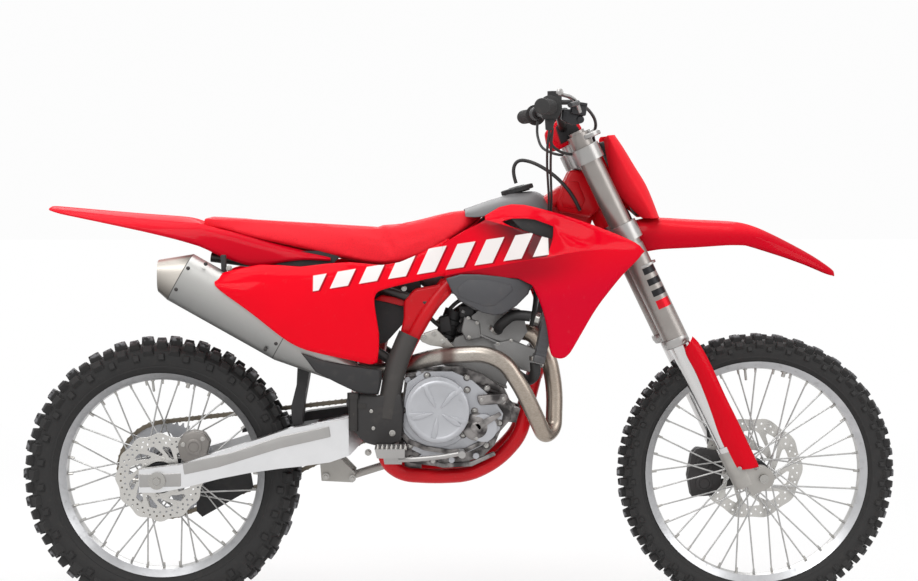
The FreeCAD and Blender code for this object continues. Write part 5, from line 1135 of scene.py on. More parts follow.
enginePieces = {
    "coverBosses": {
        "material": "caseAlloy", "smooth": 32,
        "turned": [([(0, 9.5), (10, 9.0), (12, 8.0), (12, 0)], (*spot, -104), outRight, 20) for spot in boltSpots] + [
            ([(0, 34), (20, 33), (23, 30), (25, 24), (25, 0)], (*pump, -114), outRight, 40),
            ([(0, 15), (6, 14), (8, 11), (8, 0)], (*pump, -138), outRight, 28)],
        "slabs": [
            ([(774, 486), (786, 470), (842, 508), (836, 516)], -146, -139, 2.0),
            ([(783, 542), (789, 530), (845, 534), (857, 546), (856, 560), (840, 560), (782, 554)],
             -132, -112, 4.0, 3)]},
    "coverBolts": {
        "material": "boltSteel", "smooth": 32,
        "hexes": [((*spot, -116), outRight, 5.5, 4.5) for spot in boltSpots] + [
            ((793, 544, -132), outRight, 4.5, 4.0), ((847, 547, -132), outRight, 4.5, 4.0)] + [
            ((*polar(pump, 27, 30 + 120 * index), -138.5), outRight, 4.0, 3.5) for index in range(3)]},
    "caseRibs": {
        "material": "caseAlloy", "smooth": 32,
        "slabs": [
            ([(597, 470), (617, 447), (657, 430), (714, 421), (753, 424), (792, 443), (819, 470), (824, 497),
              (834, 496), (828, 462), (798, 434), (755, 413), (712, 409), (652, 419), (610, 437), (590, 462)],
             -122, -104, 2.5),
            ([(612, 392), (700, 372), (770, 376), (830, 404), (824, 412), (768, 388), (700, 384), (616, 404)],
             -100, -84, 3),
            ([(606, 606), (668, 616), (764, 588), (836, 562), (878, 527), (872, 520), (830, 552), (760, 576),
              (668, 603), (610, 596)], -100, -80, 3)]},
    "generatorCover": {
        "material": "coverAlloy", "smooth": 32,
        "turned": [([(-4, 62), (8, 62), (13, 58), (15, 50), (13, 44), (13, 0)], (*generator, 62), outLeft, 64)] + [
            ([(0, 8), (8, 7.5), (9, 6), (9, 0)], (*spot, 56), outLeft, 16) for spot in generatorSpots]},
    "generatorBolts": {
        "material": "boltSteel", "smooth": 32,
        "hexes": [((*spot, 65), outLeft, 5, 4) for spot in generatorSpots]},
    "headCastings": {
        "material": "cylinderAlloy", "smooth": 32,
        "slabs": [(gasket(reach, grow), -half, half, 1.2) for reach, grow, half in gaskets] + [
            ([(820, 676), (866, 688), (938, 658), (955, 622), (916, 604), (846, 626)], -72, -60, 5, 3),
            ([(752, 744), (790, 730), (794, 690), (756, 684), (744, 708)], -70, -58, 4, 3)],
        "sockets": [((x, z, y), (barrelLean.x, 0, barrelLean.y), 6, 7)
                    for y in (-56, -20, 20, 56) for x, z in ((748, 752), (866, 700))]},
    "headBolts": {
        "material": "boltSteel", "smooth": 32,
        "hexes": [((x, z, -71), outRight, 5, 4) for x, z in (
            (835, 676), (868, 684), (936, 652), (946, 624), (853, 628), (762, 740), (784, 728), (764, 692))] + [
            ((x, z, -113), outRight, 6.5, 5) for x, z in ((652, 698), (698, 685), (676, 706))]},
    "engineHanger": {
        "material": "lugAlloy", "smooth": 32,
        "slabs": [([(640, 694), (654, 706), (683, 716), (728, 672), (716, 662), (694, 672), (668, 676), (648, 684)],
                   -112, -100, 3)]},
    "intakeParts": {  # throttle body, injector, plug cap
        "material": "blackPlastic", "smooth": 32,
        "turned": [
            ([(0, 27), (8, 27), (10, 24), (34, 24), (36, 28), (46, 28), (48, 23), (70, 23)], (704, 690, -24),
             (0.34, 0, 0.94), 36),
            ([(0, 12), (24, 12), (26, 9), (40, 9), (40, 0)], (742, 706, -46), (0.6, -0.2, 0.77), 20),
            ([(0, 13), (30, 13), (34, 9), (60, 9), (60, 0)], (812, 694, -40), (-0.25, 0, 0.97), 18)],
        "slabs": [([(690, 700), (722, 706), (716, 748), (688, 742)], -66, -48, 5, 3),
                  ([(736, 770), (776, 772), (780, 742), (742, 738)], -60, -38, 5, 3)]},
    "enginePipes": {
        "material": "hoseRubber", "smooth": 40,
        "tubes": [
            ([(716, 760, -50), (740, 790, -62), (780, 782, -66), (806, 752, -60), (806, 720, -52)], 5),
            ([(770, 757, -52), (800, 775, -70), (840, 770, -74), (880, 752, -60)], 4),
            ([(690, 720, -60), (664, 740, -74), (650, 780, -70), (668, 812, -60)], 5),
            ([(918, 720, -62), (924, 752, -70), (930, 800, -60), (928, 850, -50)], 6),
            ([(560, 470, -86), (600, 440, -98), (640, 432, -96), (700, 424, -92)], 4)]},
    "hoseClips": {
        "material": "boltSteel", "smooth": 35,
        "rings": [(clipProfile, place, way, 28) for place, way in (
            ((828, 712, -62), (0.45, -0.3, 0.84)), ((930, 741, -124), (1, -0.2, -0.3)), ((924, 646, -133), upward),
            ((866, 640, -46), (-0.45, 0.3, 0.84)))]},
}

clutchCap()
buildAll(enginePieces)
print("engine done")


# frame covers, silencer, swingarm and axle fittings

framePieces = {
    "sparCasting": {
        "material": "redFrame",
        "slabs": [
            ([(591, 690), (603, 742), (603, 784), (629, 814), (716, 830), (722, 804), (690, 770), (652, 727),
              (630, 684)], -112, -84, 7, 3),
            ([(628, 708), (654, 748), (680, 786), (712, 812), (716, 800), (690, 774), (664, 738), (640, 706)],
             -115, -108, 3),
            ([(530, 786), (549, 799), (598, 791), (650, 815), (706, 825), (700, 806), (640, 790), (600, 770),
              (560, 780)], -88, -70, 4)],
        "tubes": [([(612, 684, -96), (638, 730, -98), (668, 776, -98), (708, 830, -94)], 17)]},
    "tubeCover": {
        "material": "greyPlastic", "smooth": 50, "stands": ("frame_guards",),
        "tubes": [([(616, 702, -112), (600, 668, -115), (582, 618, -117), (571, 560, -118), (562, 500, -116)],
                   26, 10)]},
    "guardPlate": {
        "material": "platePlastic",
        "slabs": [([(468, 562), (509, 560), (540, 556), (596, 560), (604, 520), (601, 478), (597, 445), (567, 431),
                    (530, 434), (508, 440), (475, 474), (473, 512), (462, 536)], -139, -125, 6, 3)]},
    "frameBolts": {
        "material": "boltSteel",
        "sockets": [((524, 518, -139), outRight, 4.5, 2.5), ((529, 476, -139), outRight, 4.5, 2.5)],
        "hexes": [((575, 464, -139), outRight, 8, 5), ((604, 815, -104), outRight, 7, 5),
                  ((484, 571, -150), outRight, 6, 4), ((484, 571, 150), outLeft, 6, 4)]},
}
armPieces = {
    "silencerRivets": {
        "material": "darkSteel", "smooth": 40,
        "turned": [([(-6, 4.6), (1, 4.6), (2.2, 3.2), (2.4, 0)], spot, outRight, 14) for spot in (
            (86, 868, -172), (57, 817, -172), (296, 686, -172), (128, 878, -170), (270, 672, -172))]},
    "silencerBracket": {
        "material": "blackPlastic",
        "slabs": [([(160, 898), (172, 898), (174, 850), (162, 846)], -134, -112, 2)]},
    "silencerBolt": {"material": "boltSteel", "hexes": [((181, 866, -136), outRight, 8, 6)]},
    "axleBlocks": {
        "material": "clampAlloy", "mirrored": True,
        "slabs": [
            ([(62, 388), (180, 414), (300, 454), (420, 478), (424, 452), (300, 424), (150, 378), (66, 360)],
             -118.2, -112, 2.2),
            ([(-44, 362), (58, 364), (58, 331), (-44, 329)], -118.5, -112, 2.5)],
        "turned": [([(0, 20), (4, 20), (6, 17), (6, 0)], (*rearCentre, -116), outRight, 32)]},
    "axleNuts": {
        "material": "boltSteel",
        "hexes": [((*rearCentre, -122), outRight, 17, 9, False), ((*rearCentre, 122), outLeft, 17, 9, False)] + [
            ((x, z, -60), outRight, 9, 7) for x, z in ((403, 391), (475, 341), (409, 346), (514, 406))],
        "turned": [([(0, 4), (26, 4), (26, 7), (32, 7), (32, 0)], (-28, 346, y), (-1, 0, 0), 12) for y in (-108, 108)]},
    "frontAxleNuts": {
        "material": "boltSteel", "body": "steering",
        "hexes": [((*frontCentre, -128), outRight, 14, 8, False), ((*frontCentre, 128), outLeft, 14, 8, False)]},
}
subframeRows = [[(351, 667, -176), (406, 646, -166), (470, 634, -157), (556, 620, -146)],
                [(366, 650, -176), (425, 622, -166), (488, 596, -157), (552, 590, -146)],
                [(388, 618, -174), (443, 588, -164), (494, 562, -156), (545, 556, -145)]]


def subframePlates():
    mesh = bmesh.new()
    cage(mesh, [[at(*place) for place in row] for row in subframeRows])
    bmesh.ops.recalc_face_normals(mesh, faces=mesh.faces)
    mirrorCopy(mesh)
    rounded(newPiece("subframePlates", mesh, "blackPlastic", "frame", 60), 1, 5.0, 0.0, 1.0)


buildAll(framePieces)
subframePlates()
buildAll(armPieces)
print("fittings done")


# tank top, cap and lobes

tankTop = [
    (752, [(0, 1008), (42, 1007), (76, 1004), (96, 998), (104, 990)]),
    (776, [(0, 1016), (42, 1014), (78, 1008), (100, 999), (108, 989)]),
    (802, [(0, 1026), (42, 1023), (78, 1015), (101, 1004), (110, 991)]),
    (842, [(0, 1039), (42, 1036), (76, 1030), (98, 1021), (108, 1007)]),
    (882, [(0, 1048), (42, 1045), (74, 1038), (96, 1028), (108, 1014)]),
    (925, [(0, 1055), (38, 1052), (66, 1044), (88, 1030), (102, 1008)]),
    (948, [(0, 1047), (34, 1044), (62, 1034), (84, 1018), (98, 998)]),
    (964, [(0, 1020), (32, 1015), (58, 1005), (80, 992), (92, 978)]),
]
fuelCap = {"place": (886.5, 1050.0), "along": (-0.263, 0.0, 0.965), "radius": 40.4, "ribs": 28,
           "rib": [(0.6, 0), (0.6, 2.2), (10.4, 2.2), (11.2, 1.4), (11.2, 0)]}
tankPieces = {
    "tankLobes": {
        "material": "tankLobe", "smooth": 40, "mirrored": True,
        "slabs": [
            ([(705, 841), (742, 851), (784, 851), (885, 841), (914, 826), (906, 803), (877, 774), (843, 754),
              (822, 751), (793, 758), (742, 785), (722, 806)], -142, -133, 5.0, 3),
            ([(734, 818), (759, 838), (801, 839), (864, 825), (868, 812), (843, 790), (822, 775), (801, 774),
              (759, 788), (736, 799)], -143.6, -140, 1.4, 2)]},
    # black sheets behind the shroud and above the side panel: painted shade in the gaps there
    "gapShadeSheets": {
        "material": "blackPlastic", "smooth": 30, "mirrored": True,
        "slabs": [
            ([(858, 992), (925, 988), (990, 966), (985, 925), (905, 945)], -129, -126),
            ([(290, 866), (300, 895), (353, 905), (412, 908), (446, 892), (428, 872), (360, 862)], -96, -92)]},
}


def tankCap():
    mesh = bmesh.new()
    base = at(*fuelCap["place"])
    along = Vector(fuelCap["along"]).normalized()
    radius = fuelCap["radius"]
    lathe(mesh, [(-3, 0), (-3, 30), (0, 31), (0, radius - 2), (1.5, radius - 0.8), (10, radius - 0.8), (12, radius - 3),
                 (12.4, 26), (12.4, 22), (14, 19), (14.4, 8), (14.4, 0)], base, along, 56)
    across = along.orthogonal().normalized()
    other = along.cross(across)
    for index in range(fuelCap["ribs"]):
        angle = math.tau * index / fuelCap["ribs"]
        spot = base + (across * math.cos(angle) + other * math.sin(angle)) * ((radius - 1.6) / 1000)
        lathe(mesh, fuelCap["rib"], spot, along, 8)
    newPiece("tankCap", mesh, "blackPlastic", "frame", 30, ("fuel_cap",))


crownedSheet("tankTopSkin", tankTop, None, "frame", "tankPlastic", ((3, 0.3),), 2.4)
tankCap()
buildAll(tankPieces)
print("tank done")


# grips, levers and instruments on the bar

gripLine = {"inner": (948, 1250, 292), "outer": (921, 1248, 408), "pitch": 5.6, "from": 8.0}
barPieces = {
    "throttleHousing": {
        "material": "blackPlastic", "smooth": 32,
        "turned": [([(0, 0), (0, 22), (2, 25), (20, 25.5), (22, 24), (22, 0)], (953, 1251, -268),
                    (-5, -24, -1), 28, 0.6)],
        "slabs": [([(930, 1222), (966, 1222), (974, 1240), (970, 1268), (934, 1270), (928, 1244)], -286, -268, 3.0, 2),
                  ([(938, 1196), (956, 1196), (960, 1226), (936, 1226)], -283, -271, 3.0, 2)],
        "sockets": [((944, 1262, -286), outRight, 3.6, 4), ((962, 1232, -286), outRight, 3.6, 4)]},
    "masterCylinders": {  # reservoir with its lid and clamp
        "material": "hubAlloy", "smooth": 32, "mirrored": True,
        "slabs": [
            ([(998, 1236), (1034, 1230), (1038, 1256), (1001, 1262)], -262, -214, 3.5, 3),
            ([(1000, 1259), (1037, 1253), (1038, 1260), (1001, 1266)], -265, -211, 1.5, 2),
            ([(976, 1222), (1004, 1208), (1022, 1212), (1026, 1234), (1004, 1246), (980, 1248)], -250, -232, 4.0, 3)],
        "sockets": [((1008, 1263, -220), (0.16, 0, 0.98), 3.0, 2.4), ((1028, 1259.6, -256), (0.16, 0, 0.98), 3.0, 2.4)],
        "turned": [([(0, 0), (0, 9), (40, 9), (42, 7), (42, 0)], (1022, 1222, -212), outRight, 20)]},
    "leverBlades": {
        "material": "clampAlloy", "smooth": 60, "mirrored": True,
        "tubes": [([(1020, 1240, -262), (1012, 1262, -280), (992, 1274, -310), (975, 1276, -345), (966, 1278, -380),
                    (962, 1280, -404)], 5.2, 6)],
        "turned": [([(-6, 0), (-6, 6), (-4, 8), (4, 8), (6, 6), (6, 0)], (962, 1280, -405), outRight, 20)]},
    # a black strip behind the plate's inner edge, standing in for the wires there and for painted shade in the gap to
    # the fork
    "plateGapWiresAndShade": {
        "material": "blackPlastic", "smooth": 30,
        "slabs": [([(1086, 1172), (1104, 1176), (1140, 1122), (1176, 1062), (1192, 1004), (1182, 988), (1150, 1046),
                    (1112, 1118)], -46, 46, 6.0, 2)]},
}


def gripPair():
    mesh = bmesh.new()
    inner, outer = at(*gripLine["inner"]), at(*gripLine["outer"])
    length = (outer - inner).length * 1000
    profile = [(0, 0), (0, 27), (3, 27.5), (5, 24), (7, 18)]
    reach = gripLine["from"]
    while reach < length - 8:
        profile += [(reach, 17.4), (reach + 1.6, 18.6), (reach + 3.4, 18.6), (reach + 5.0, 17.4)]
        reach += gripLine["pitch"]
    profile += [(length - 4, 18.4), (length, 17.6), (length + 1, 14), (length + 1, 0)]
    lathe(mesh, profile, inner, outer - inner, 28)
    mirrorCopy(mesh)
    newPiece("gripPair", mesh, "gripRubber", "steering", 28, ("grips",))


gripPair()
buildAll(barPieces, body="steering")
print("bar done")


# throttle cables run from the bar down behind the tank

cablePaths = [
    [(948, 1200, -277), (944, 1172, -262), (945, 1140, -226), (948, 1108, -182), (953, 1072, -140), (957, 1040, -112),
     (958, 1010, -98), (955, 975, -90)],
    [(955, 1200, -277), (953, 1168, -258), (954, 1132, -220), (957, 1100, -174), (961, 1066, -132), (964, 1034, -104),
     (964, 1004, -92), (960, 970, -84)],
]
for number, path in enumerate(cablePaths, 1):
    cable = bmesh.new()
    tube(cable, [at(*place) for place in path], 3.0, 5)
    piece = newPiece(f"throttleCable{number}", cable, "hoseRubber", None, 60)
    at(957, 1030, -105)
    at(946, 1165, -240)
    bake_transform(piece)
print("cables done")


# brake discs cut from one sheet, with waves, windows and holes

frontDisc = {"name": "frontWaveDisc", "node": "front_disc", "body": "front_wheel", "centre": frontCentre,
             "radius": 127.0, "waves": 10, "inner": 47.0, "y": (46.5, 49.5), "way": outLeft, "windows": 10,
             "window": (60.0, 97.0), "lean": 16.0, "width": 12.5, "holes": (106.0, 116.5), "count": 30}
rearDisc = {"name": "rearWaveDisc", "node": "rear_disc", "body": "rear_wheel", "centre": rearCentre, "radius": 107.0,
            "waves": 12, "inner": 40.0, "y": (-62.5, -65.5), "way": outRight, "windows": 12, "window": (53.0, 78.0),
            "lean": 10.0, "width": 9.5, "holes": (87.0, 97.0), "count": 36}
discWave, discBevel, holeRadius = 3.0, 0.3, 2.9


def cutPlate(mesh, loops, middle, thick, bevel):  # first loop is the outline, the others are openings
    curve = bpy.data.curves.new("cut", "CURVE")
    curve.dimensions = "2D"
    curve.fill_mode = "BOTH"
    curve.extrude = (thick / 2 - bevel) / 1000
    curve.bevel_depth = bevel / 1000
    curve.bevel_resolution = 1
    for loop in loops:
        spline = curve.splines.new("POLY")
        spline.points.add(len(loop) - 1)
        for target, (x, z) in zip(spline.points, loop):
            target.co = (x / 1000, z / 1000, 0, 1)
        spline.use_cyclic_u = True
    addCurve(mesh, curve, Matrix.Translation(at(0, 0, middle)) @ Matrix.Rotation(math.radians(90), 4, "X"))


def waveDisc(values):
    centre = values["centre"]
    edge = []
    for step in range(240):
        degrees = step * 1.5
        swell = discWave * math.cos(math.radians(values["waves"] * degrees))
        edge.append(polar(centre, values["radius"] + swell, degrees))
    loops = [edge, [polar(centre, values["inner"], step * 7.5) for step in range(48)]]
    near, far = values["window"]
    half, lean = values["width"], values["lean"]
    for index in range(values["windows"]):
        middle = 360 / values["windows"] * index + 9
        corners = [(near, share * half * 0.7 - lean) for share in (-0.7, 0, 0.7)]
        corners += [(near + 5, half * 0.92 - lean * 0.8), (far - 7, half + lean * 0.6)]
        corners += [(far, share * half + lean * 0.8) for share in (0.7, 0, -0.7)]
        corners += [(far - 7, lean * 0.6 - half), (near + 5, -half * 0.92 - lean * 0.8)]
        loops.append([polar(centre, radius, middle + turn) for radius, turn in corners])
    for row, radius in enumerate(values["holes"]):
        for index in range(values["count"]):
            spot = polar(centre, radius, 360 / values["count"] * (index + row * 0.5))
            loops.append([polar(spot, holeRadius, step * 36) for step in range(10)])
    mesh = bmesh.new()
    inside, outside = values["y"]
    cutPlate(mesh, loops, (inside + outside) / 2, abs(outside - inside), discBevel)
    for index in range(6):
        spot = polar(centre, values["inner"] + 6, 60 * index + 20)
        socketBolt(mesh, at(*spot, outside), values["way"], 5.5, 4)
    newPiece(values["name"], mesh, "discSteel", values["body"], 34, (values["node"],))


waveDisc(frontDisc)
waveDisc(rearDisc)


# fork guards, and the rings and caps of the fork

guardEnds = [((1291, 672), (1308, 700)), ((1290, 652), (1324, 686)), ((1306, 628), (1348, 645)),
             ((1319, 605), (1368, 603)), ((1341, 546), (1396, 541)), ((1358, 500), (1418, 500)),
             ((1370, 462), (1440, 453)), ((1391, 415), (1459, 414)), ((1416, 366), (1477, 377))]
guardCrown = ((0.0, -113), (0.04, -126), (0.34, -138), (0.62, -141), (0.94, -131), (1.0, -118))
forkTop, forkLow = Vector((1054, 1189)), Vector((1273, 675))
forkWay = (forkLow - forkTop).normalized()
forkCollars = [  # end of the fork, how far up from it, profile and steps
    (forkTop, 4, [(0, 0), (0, 28), (2, 30), (10, 30), (12, 28), (12, 0)], 36),
    (forkTop, 4, [(0, 0), (0, 17), (-5, 16), (-6, 9), (-9, 8), (-9, 0)], 6),
    (forkLow, 20, [(0, 29), (0, 33), (3, 34), (12, 34), (15, 32), (20, 31.5), (22, 29)], 40),
    (forkLow, 215, [(0, 29), (0, 32), (5, 32), (5, 29)], 40),
]


def guardRow(left, right):
    wide, rise = right[0] - left[0], right[1] - left[1]
    return [at(left[0] + wide * share, left[1] + rise * share, y) for share, y in guardCrown]


gridPiece("forkGuardPair", [guardRow(*ends) for ends in guardEnds], ((1, 0.6), (3, 0.5), (4, 0.6)), outRight,
          "redGuard", "steering", ("fork_guards",), 2.4, 0.6, mirrored=True)
build("forkRings", "clampAlloy", "steering",
      turned=[(profile, (*(end - forkWay * back), y), (forkWay.x, 0, forkWay.y), steps)
              for y in (-100, 100) for end, back, profile, steps in forkCollars],
      hexes=[((1424, 374, -138), outRight, 6, 4), ((1424, 374, 138), outLeft, 6, 4)])


# radiators, peg teeth and hoses

finPitch, finLean = 14, 0.2
finSpots = [(922 + step * finPitch * finLean, 652 + step * finPitch) for step in range(1, 14)]
sidePieces = {
    "radiatorCores": {
        "material": "radiatorAlloy", "stands": ("radiators",), "mirrored": True,
        "slabs": [([(922, 652), (947, 646), (986, 842), (961, 848)], -163, -103)]},
    "radiatorTanks": {
        "material": "castDark", "mirrored": True,
        "slabs": [([(957, 842), (988, 836), (993, 860), (962, 866)], -166, -100, 4),
                  ([(915, 640), (944, 634), (948, 652), (920, 658)], -166, -100, 4)] + [
            ([(x - 0.6, z), (x + 25, z - 6), (x + 25.2, z - 5), (x - 0.4, z + 1)], -164.5, -101.5)
            for x, z in finSpots],
        "tubes": [([(960, z, -104), (975, z + 2, -60), (992, z + 3, 0)], 5) for z in (754, 806)]},
    "pegTeeth": {
        "material": "boltSteel", "smooth": 30,
        "turned": [([(-2, 3.6), (0, 3.6), (5.5, 1.2), (5.5, 0)], (x, 437, -y), upward, 6)
                   for x in range(541, 608, 11) for y in (186, 200, 214, 228, -186, -200, -214, -228)]},
}
buildAll(sidePieces)

# the routes of part.py, as shares of the wheelbase, the width and the wheelbase
wheelbase, bodyWidth = 1485.0, 480.0
ventPath = [(0.5941, -0.0083, 0.7213), (0.5872, -0.0083, 0.7407), (0.5953, -0.0125, 0.7609), (0.6182, -0.0208, 0.7582),
            (0.6438, -0.0458, 0.7448), (0.6680, -0.0917, 0.7246), (0.6896, -0.1042, 0.6976), (0.6990, -0.1042, 0.6761)]
brakePath = [(0.6815, -0.4917, 0.8498), (0.6976, -0.3125, 0.8498), (0.7219, -0.0833, 0.8337), (0.7327, 0.1292, 0.8175),
             (0.7266, 0.2083, 0.8027), (0.7414, 0.2083, 0.7684), (0.7859, 0.2083, 0.6774), (0.8094, 0.2083, 0.6290),
             (0.8256, 0.2083, 0.5845), (0.8781, 0.2083, 0.4754), (0.8997, 0.1833, 0.4256), (0.9185, 0.1375, 0.3670),
             (0.9266, 0.1292, 0.3030), (0.9279, 0.1292, 0.2673)]


def hoseLine(name, path, radius, body, node):
    curve = roundCurve(name, [at(x * wheelbase, z * wheelbase, y * bodyWidth) for x, y, z in path], radius, 5, 12)
    curve.materials.append(paint["hoseRubber"])
    piece = bpy.data.objects.new(name, curve)
    bpy.context.scene.collection.objects.link(piece)
    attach(piece, body)
    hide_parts(node)


hoseLine("ventLine", ventPath, 4.5, "frame", "vent_hose")
hoseLine("brakeLine", brakePath, 4.0, "steering", "brake_hose")
print("fork, radiators and hoses done")


# clutch star, number plate, calipers, case ridges, head gussets and pad ends

starShape = ((12, 1.5), (34, 5.5), (52, 6.5), (66, 2.5), (66, -2.5), (52, -6.5), (34, -5.5), (12, -1.5))
plateRows = [((1124, 1193), (1100, 1190), (1092, 1182)), ((1150, 1156), (1122, 1152), (1101, 1130)),
             ((1171, 1120), (1140, 1118), (1109, 1088)), ((1188, 1094), (1160, 1080), (1124, 1052)),
             ((1203, 1071), (1182, 1046), (1144, 1026)), ((1219, 1034), (1196, 1022), (1166, 1004)),
             ((1238, 984), (1214, 984), (1190, 983))]
frontBlock = [(1330, 388), (1344, 402), (1398, 394), (1410, 372), (1404, 300), (1386, 280), (1330, 277), (1320, 330)]
rearBlock = [(46, 428), (60, 456), (84, 464), (112, 458), (126, 436), (116, 398), (96, 376), (70, 376), (52, 396)]
ridgeArcs = ((92, 196, 316, -112, 2.6), (104, 214, 304, -93, 2.4), (116, 224, 300, -93, 2.2))
lastPieces = {
    "frontCaliper": {
        "material": "caliperAlloy", "body": "steering", "stands": ("front_caliper",),
        "slabs": [(frontBlock, 54, 74, 5, 2), (frontBlock, 32, 44, 4, 2),
                  ([(1396, 392), (1452, 372), (1454, 352), (1404, 346)], 57, 68, 3),
                  ([(1396, 318), (1448, 322), (1450, 304), (1402, 294)], 57, 68, 3)],
        "turned": [(profile, (1362, z, y), way, 30) for z in (362, 312) for profile, y, way in (
            ([(0, 22), (4, 22), (6, 18), (6, 14), (4, 13), (4, 0)], 32, outRight),
            ([(0, 22), (3, 21), (3, 0)], 74, outLeft))]},
    "frontCaliperBolts": {
        "material": "clampAlloy", "body": "steering", "smooth": 30,
        "hexes": [((x, z, 74), outLeft, 6, 5) for x, z in (
            (1336, 338), (1388, 336), (1440, 362), (1440, 314), (1344, 388))]},
    "rearCaliper": {
        "material": "rearCastAlloy", "stands": ("rear_caliper",),
        "slabs": [(rearBlock, -86, -70, 5, 2), (rearBlock, -58, -44, 4, 2)],
        "turned": [([(0, 20), (3, 20), (4.5, 17), (4.5, 13), (3, 12), (3, 0)], (86, 424, -86), outRight, 30)]},
    "rearCaliperBolts": {
        "material": "boltSteel", "smooth": 30,
        "hexes": [((x, z, -86), outRight, 6, 4) for x, z in ((60, 430), (108, 444), (100, 392))]},
    "caseRidges": {
        "material": "coverAlloy",
        "tubes": [([(*polar(clutch["centre"], radius, start + (stop - start) * step / 12), y)
                    for step in range(13)], thick) for radius, start, stop, y, thick in ridgeArcs],
        "turned": [([(-4, 8.5), (reach - 1, 8), (reach, 7), (reach, 0)], (x, z, -92), outRight, 20) for x, z, reach in (
            (640, 604, 10), (700, 606, 12), (612, 590, 8), (720, 392, 8), (780, 402, 8), (648, 400, 8))]},
    "headGussets": {
        "material": "redFrame", "smooth": 40, "mirrored": True,
        "slabs": [([(1013, 1104), (978, 1029), (985, 1000), (1062, 986), (1092, 1010), (1052, 1104)], -44, -16, 8, 3),
                  ([(1008, 1076), (990, 1030), (996, 1012), (1040, 1006), (1052, 1030), (1034, 1076)],
                   -46.5, -40, 3, 2)]},
    "padRims": {
        "material": "redGuard", "body": "steering", "smooth": 40, "mirrored": True,
        "slabs": [([(957, 1196), (962, 1170), (977, 1148), (992, 1158), (1012, 1168), (1034, 1180), (1040, 1206),
                    (1018, 1234), (982, 1230)], -92, -30, 8, 3)]},
    "padEnds": {
        "material": "padCover", "body": "steering", "smooth": 40, "mirrored": True,
        "slabs": [([(966, 1196), (970, 1176), (984, 1165), (1010, 1178), (1028, 1188), (1032, 1204), (1014, 1226),
                    (984, 1222)], -97, -86, 4, 3)]},
}


def starBlade(degrees):
    across, rise = polar((0, 0), 1, degrees)
    x, z = clutch["centre"]
    return [(x + across * reach - rise * half, z + rise * reach + across * half) for reach, half in starShape]


def plateRow(front, fold, inner):
    between = ((front[0] + fold[0]) / 2, (front[1] + fold[1]) / 2)
    back = ((fold[0] + inner[0]) / 2, (fold[1] + inner[1]) / 2)
    places = ((front, 0), (front, -46), (between, -84), (fold, -100), (back, -90), (inner, -64))
    return [at(*spot, y) for spot, y in places]


build("clutchStar", "coverAlloy", smooth=40,
      slabs=[(starBlade(degrees), -151.5, -147, 1.6, 2) for degrees in (195, 262, 328, 50, 118)])
gridPiece("plateFront", [plateRow(*row) for row in plateRows], ((3, 0.8),), forward, "redFender", "steering",
          ("number_plate",), 2.5, 0.5, mirrored=True, weld=0.0002)
buildAll(lastPieces)
print("plate, calipers and ridges done")


# floor, light and camera

studio = {"floor": -0.967, "size": 60.0, "world": 0.5, "seen": 0.98, "glow": 0.45, "halo": (0.8, 4.0)}
# place, aim, size and power
lamps = {"keySoftbox": ((-1.4, -3.6, 3.0), (0.1, 0, -0.1), (3.0, 2.2), 88),
         "topSoftbox": ((0.3, 0.0, 3.4), (0.2, 0, 0), (3.6, 3.0), 84),
         "sideSoftbox": ((3.6, -1.8, 1.4), (0.4, 0, -0.2), (2.0, 2.0), 32),
         "backSoftbox": ((0.2, 3.8, 2.0), (0.2, 0, 0), (3.4, 2.0), 60)}
photoView = {"lens": 76.86, "sensor": 36.0, "place": (0.204, -4.886, 0.116), "pitch": 86.73, "yaw": -1.08}


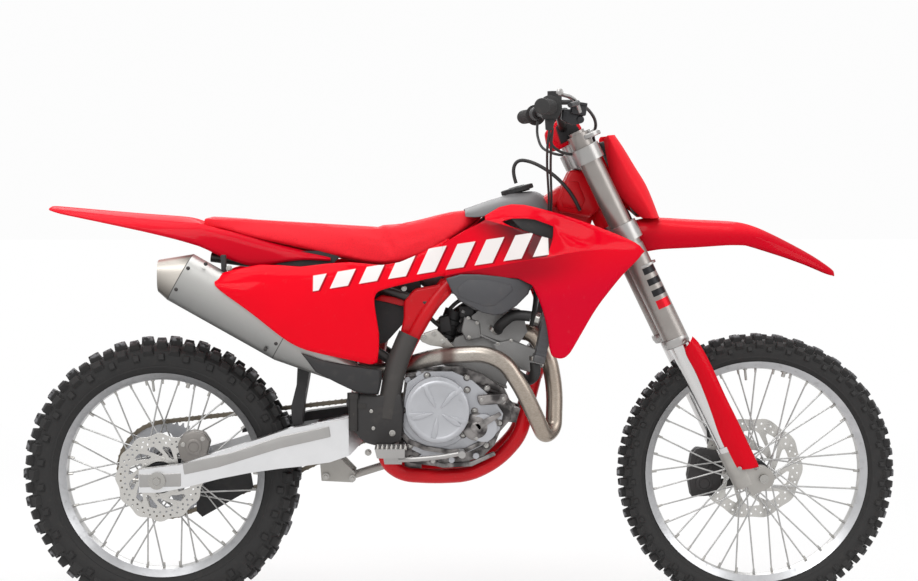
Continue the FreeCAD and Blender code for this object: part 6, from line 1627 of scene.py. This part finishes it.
def studioFloor():
    mesh = bmesh.new()
    bmesh.ops.create_grid(mesh, x_segments=1, y_segments=1, size=studio["size"] / 2)
    bmesh.ops.translate(mesh, verts=mesh.verts, vec=Vector((0, 0, studio["floor"])))
    shader = Shader("studioFloor")
    dust = shader.noise(0.8)
    shader.set(Base_Color=shader.mix(dust, tint(236, 236, 236), tint(242, 242, 242)), Roughness=0.6)
    glow = shader.add("ShaderNodeEmission", None, {"Color": (1, 1, 1, 1), "Strength": 1.0})
    ray = shader.add("ShaderNodeLightPath", None, None, "Is Camera Ray")
    gloss = shader.add("ShaderNodeLightPath", None, None, "Is Glossy Ray")
    reach = shader.length(shader.axis("X"), shader.axis("Y"))
    share = (studio["glow"] + reach.step(*studio["halo"]) * (1 - studio["glow"])) * ray.maths("MAXIMUM", ray, gloss)
    blend = shader.add("ShaderNodeMixShader", None, {0: share, 1: Wire(shader, shader.surface.outputs[0]), 2: glow})
    shader.feed(shader.tree.nodes["Material Output"].inputs["Surface"], blend)
    data = bpy.data.meshes.new("studioFloor")
    mesh.to_mesh(data)
    mesh.free()
    floor = bpy.data.objects.new("studioFloor", data)
    bpy.context.scene.collection.objects.link(floor)
    data.materials.append(shader.material)


def lamp(name, place, aim, size, power):
    light = bpy.data.lights.new(name, "AREA")
    light.shape = "RECTANGLE"
    light.size, light.size_y = size
    light.energy = power
    holder = bpy.data.objects.new(name, light)
    holder.location = place
    holder.rotation_euler = (Vector(aim) - Vector(place)).to_track_quat("-Z", "Y").to_euler()
    bpy.context.scene.collection.objects.link(holder)


studioFloor()
for name, values in lamps.items():
    lamp(name, *values)

world = bpy.data.worlds.new("studioWorld")
bpy.context.scene.world = world
world.use_nodes = True
background = world.node_tree.nodes["Background"]
path = world.node_tree.nodes.new("ShaderNodeLightPath")
seen = world.node_tree.nodes.new("ShaderNodeMath")
seen.operation = "MAXIMUM"
world.node_tree.links.new(path.outputs["Is Camera Ray"], seen.inputs[0])
world.node_tree.links.new(path.outputs["Is Glossy Ray"], seen.inputs[1])
level = world.node_tree.nodes.new("ShaderNodeMapRange")
level.inputs["To Min"].default_value = studio["world"]
level.inputs["To Max"].default_value = studio["seen"]
world.node_tree.links.new(seen.outputs[0], level.inputs["Value"])
world.node_tree.links.new(level.outputs[0], background.inputs["Strength"])
background.inputs["Color"].default_value = (1, 1, 1, 1)

camera = bpy.data.cameras.new("photoCamera")
camera.lens = photoView["lens"]
camera.sensor_width = photoView["sensor"]
holder = bpy.data.objects.new("photoCamera", camera)
holder.location = photoView["place"]
holder.rotation_euler = (math.radians(photoView["pitch"]), 0, math.radians(photoView["yaw"]))
bpy.context.scene.collection.objects.link(holder)
bpy.context.scene.camera = holder
bpy.context.scene.view_settings.view_transform = "Standard"
print("light and camera done")
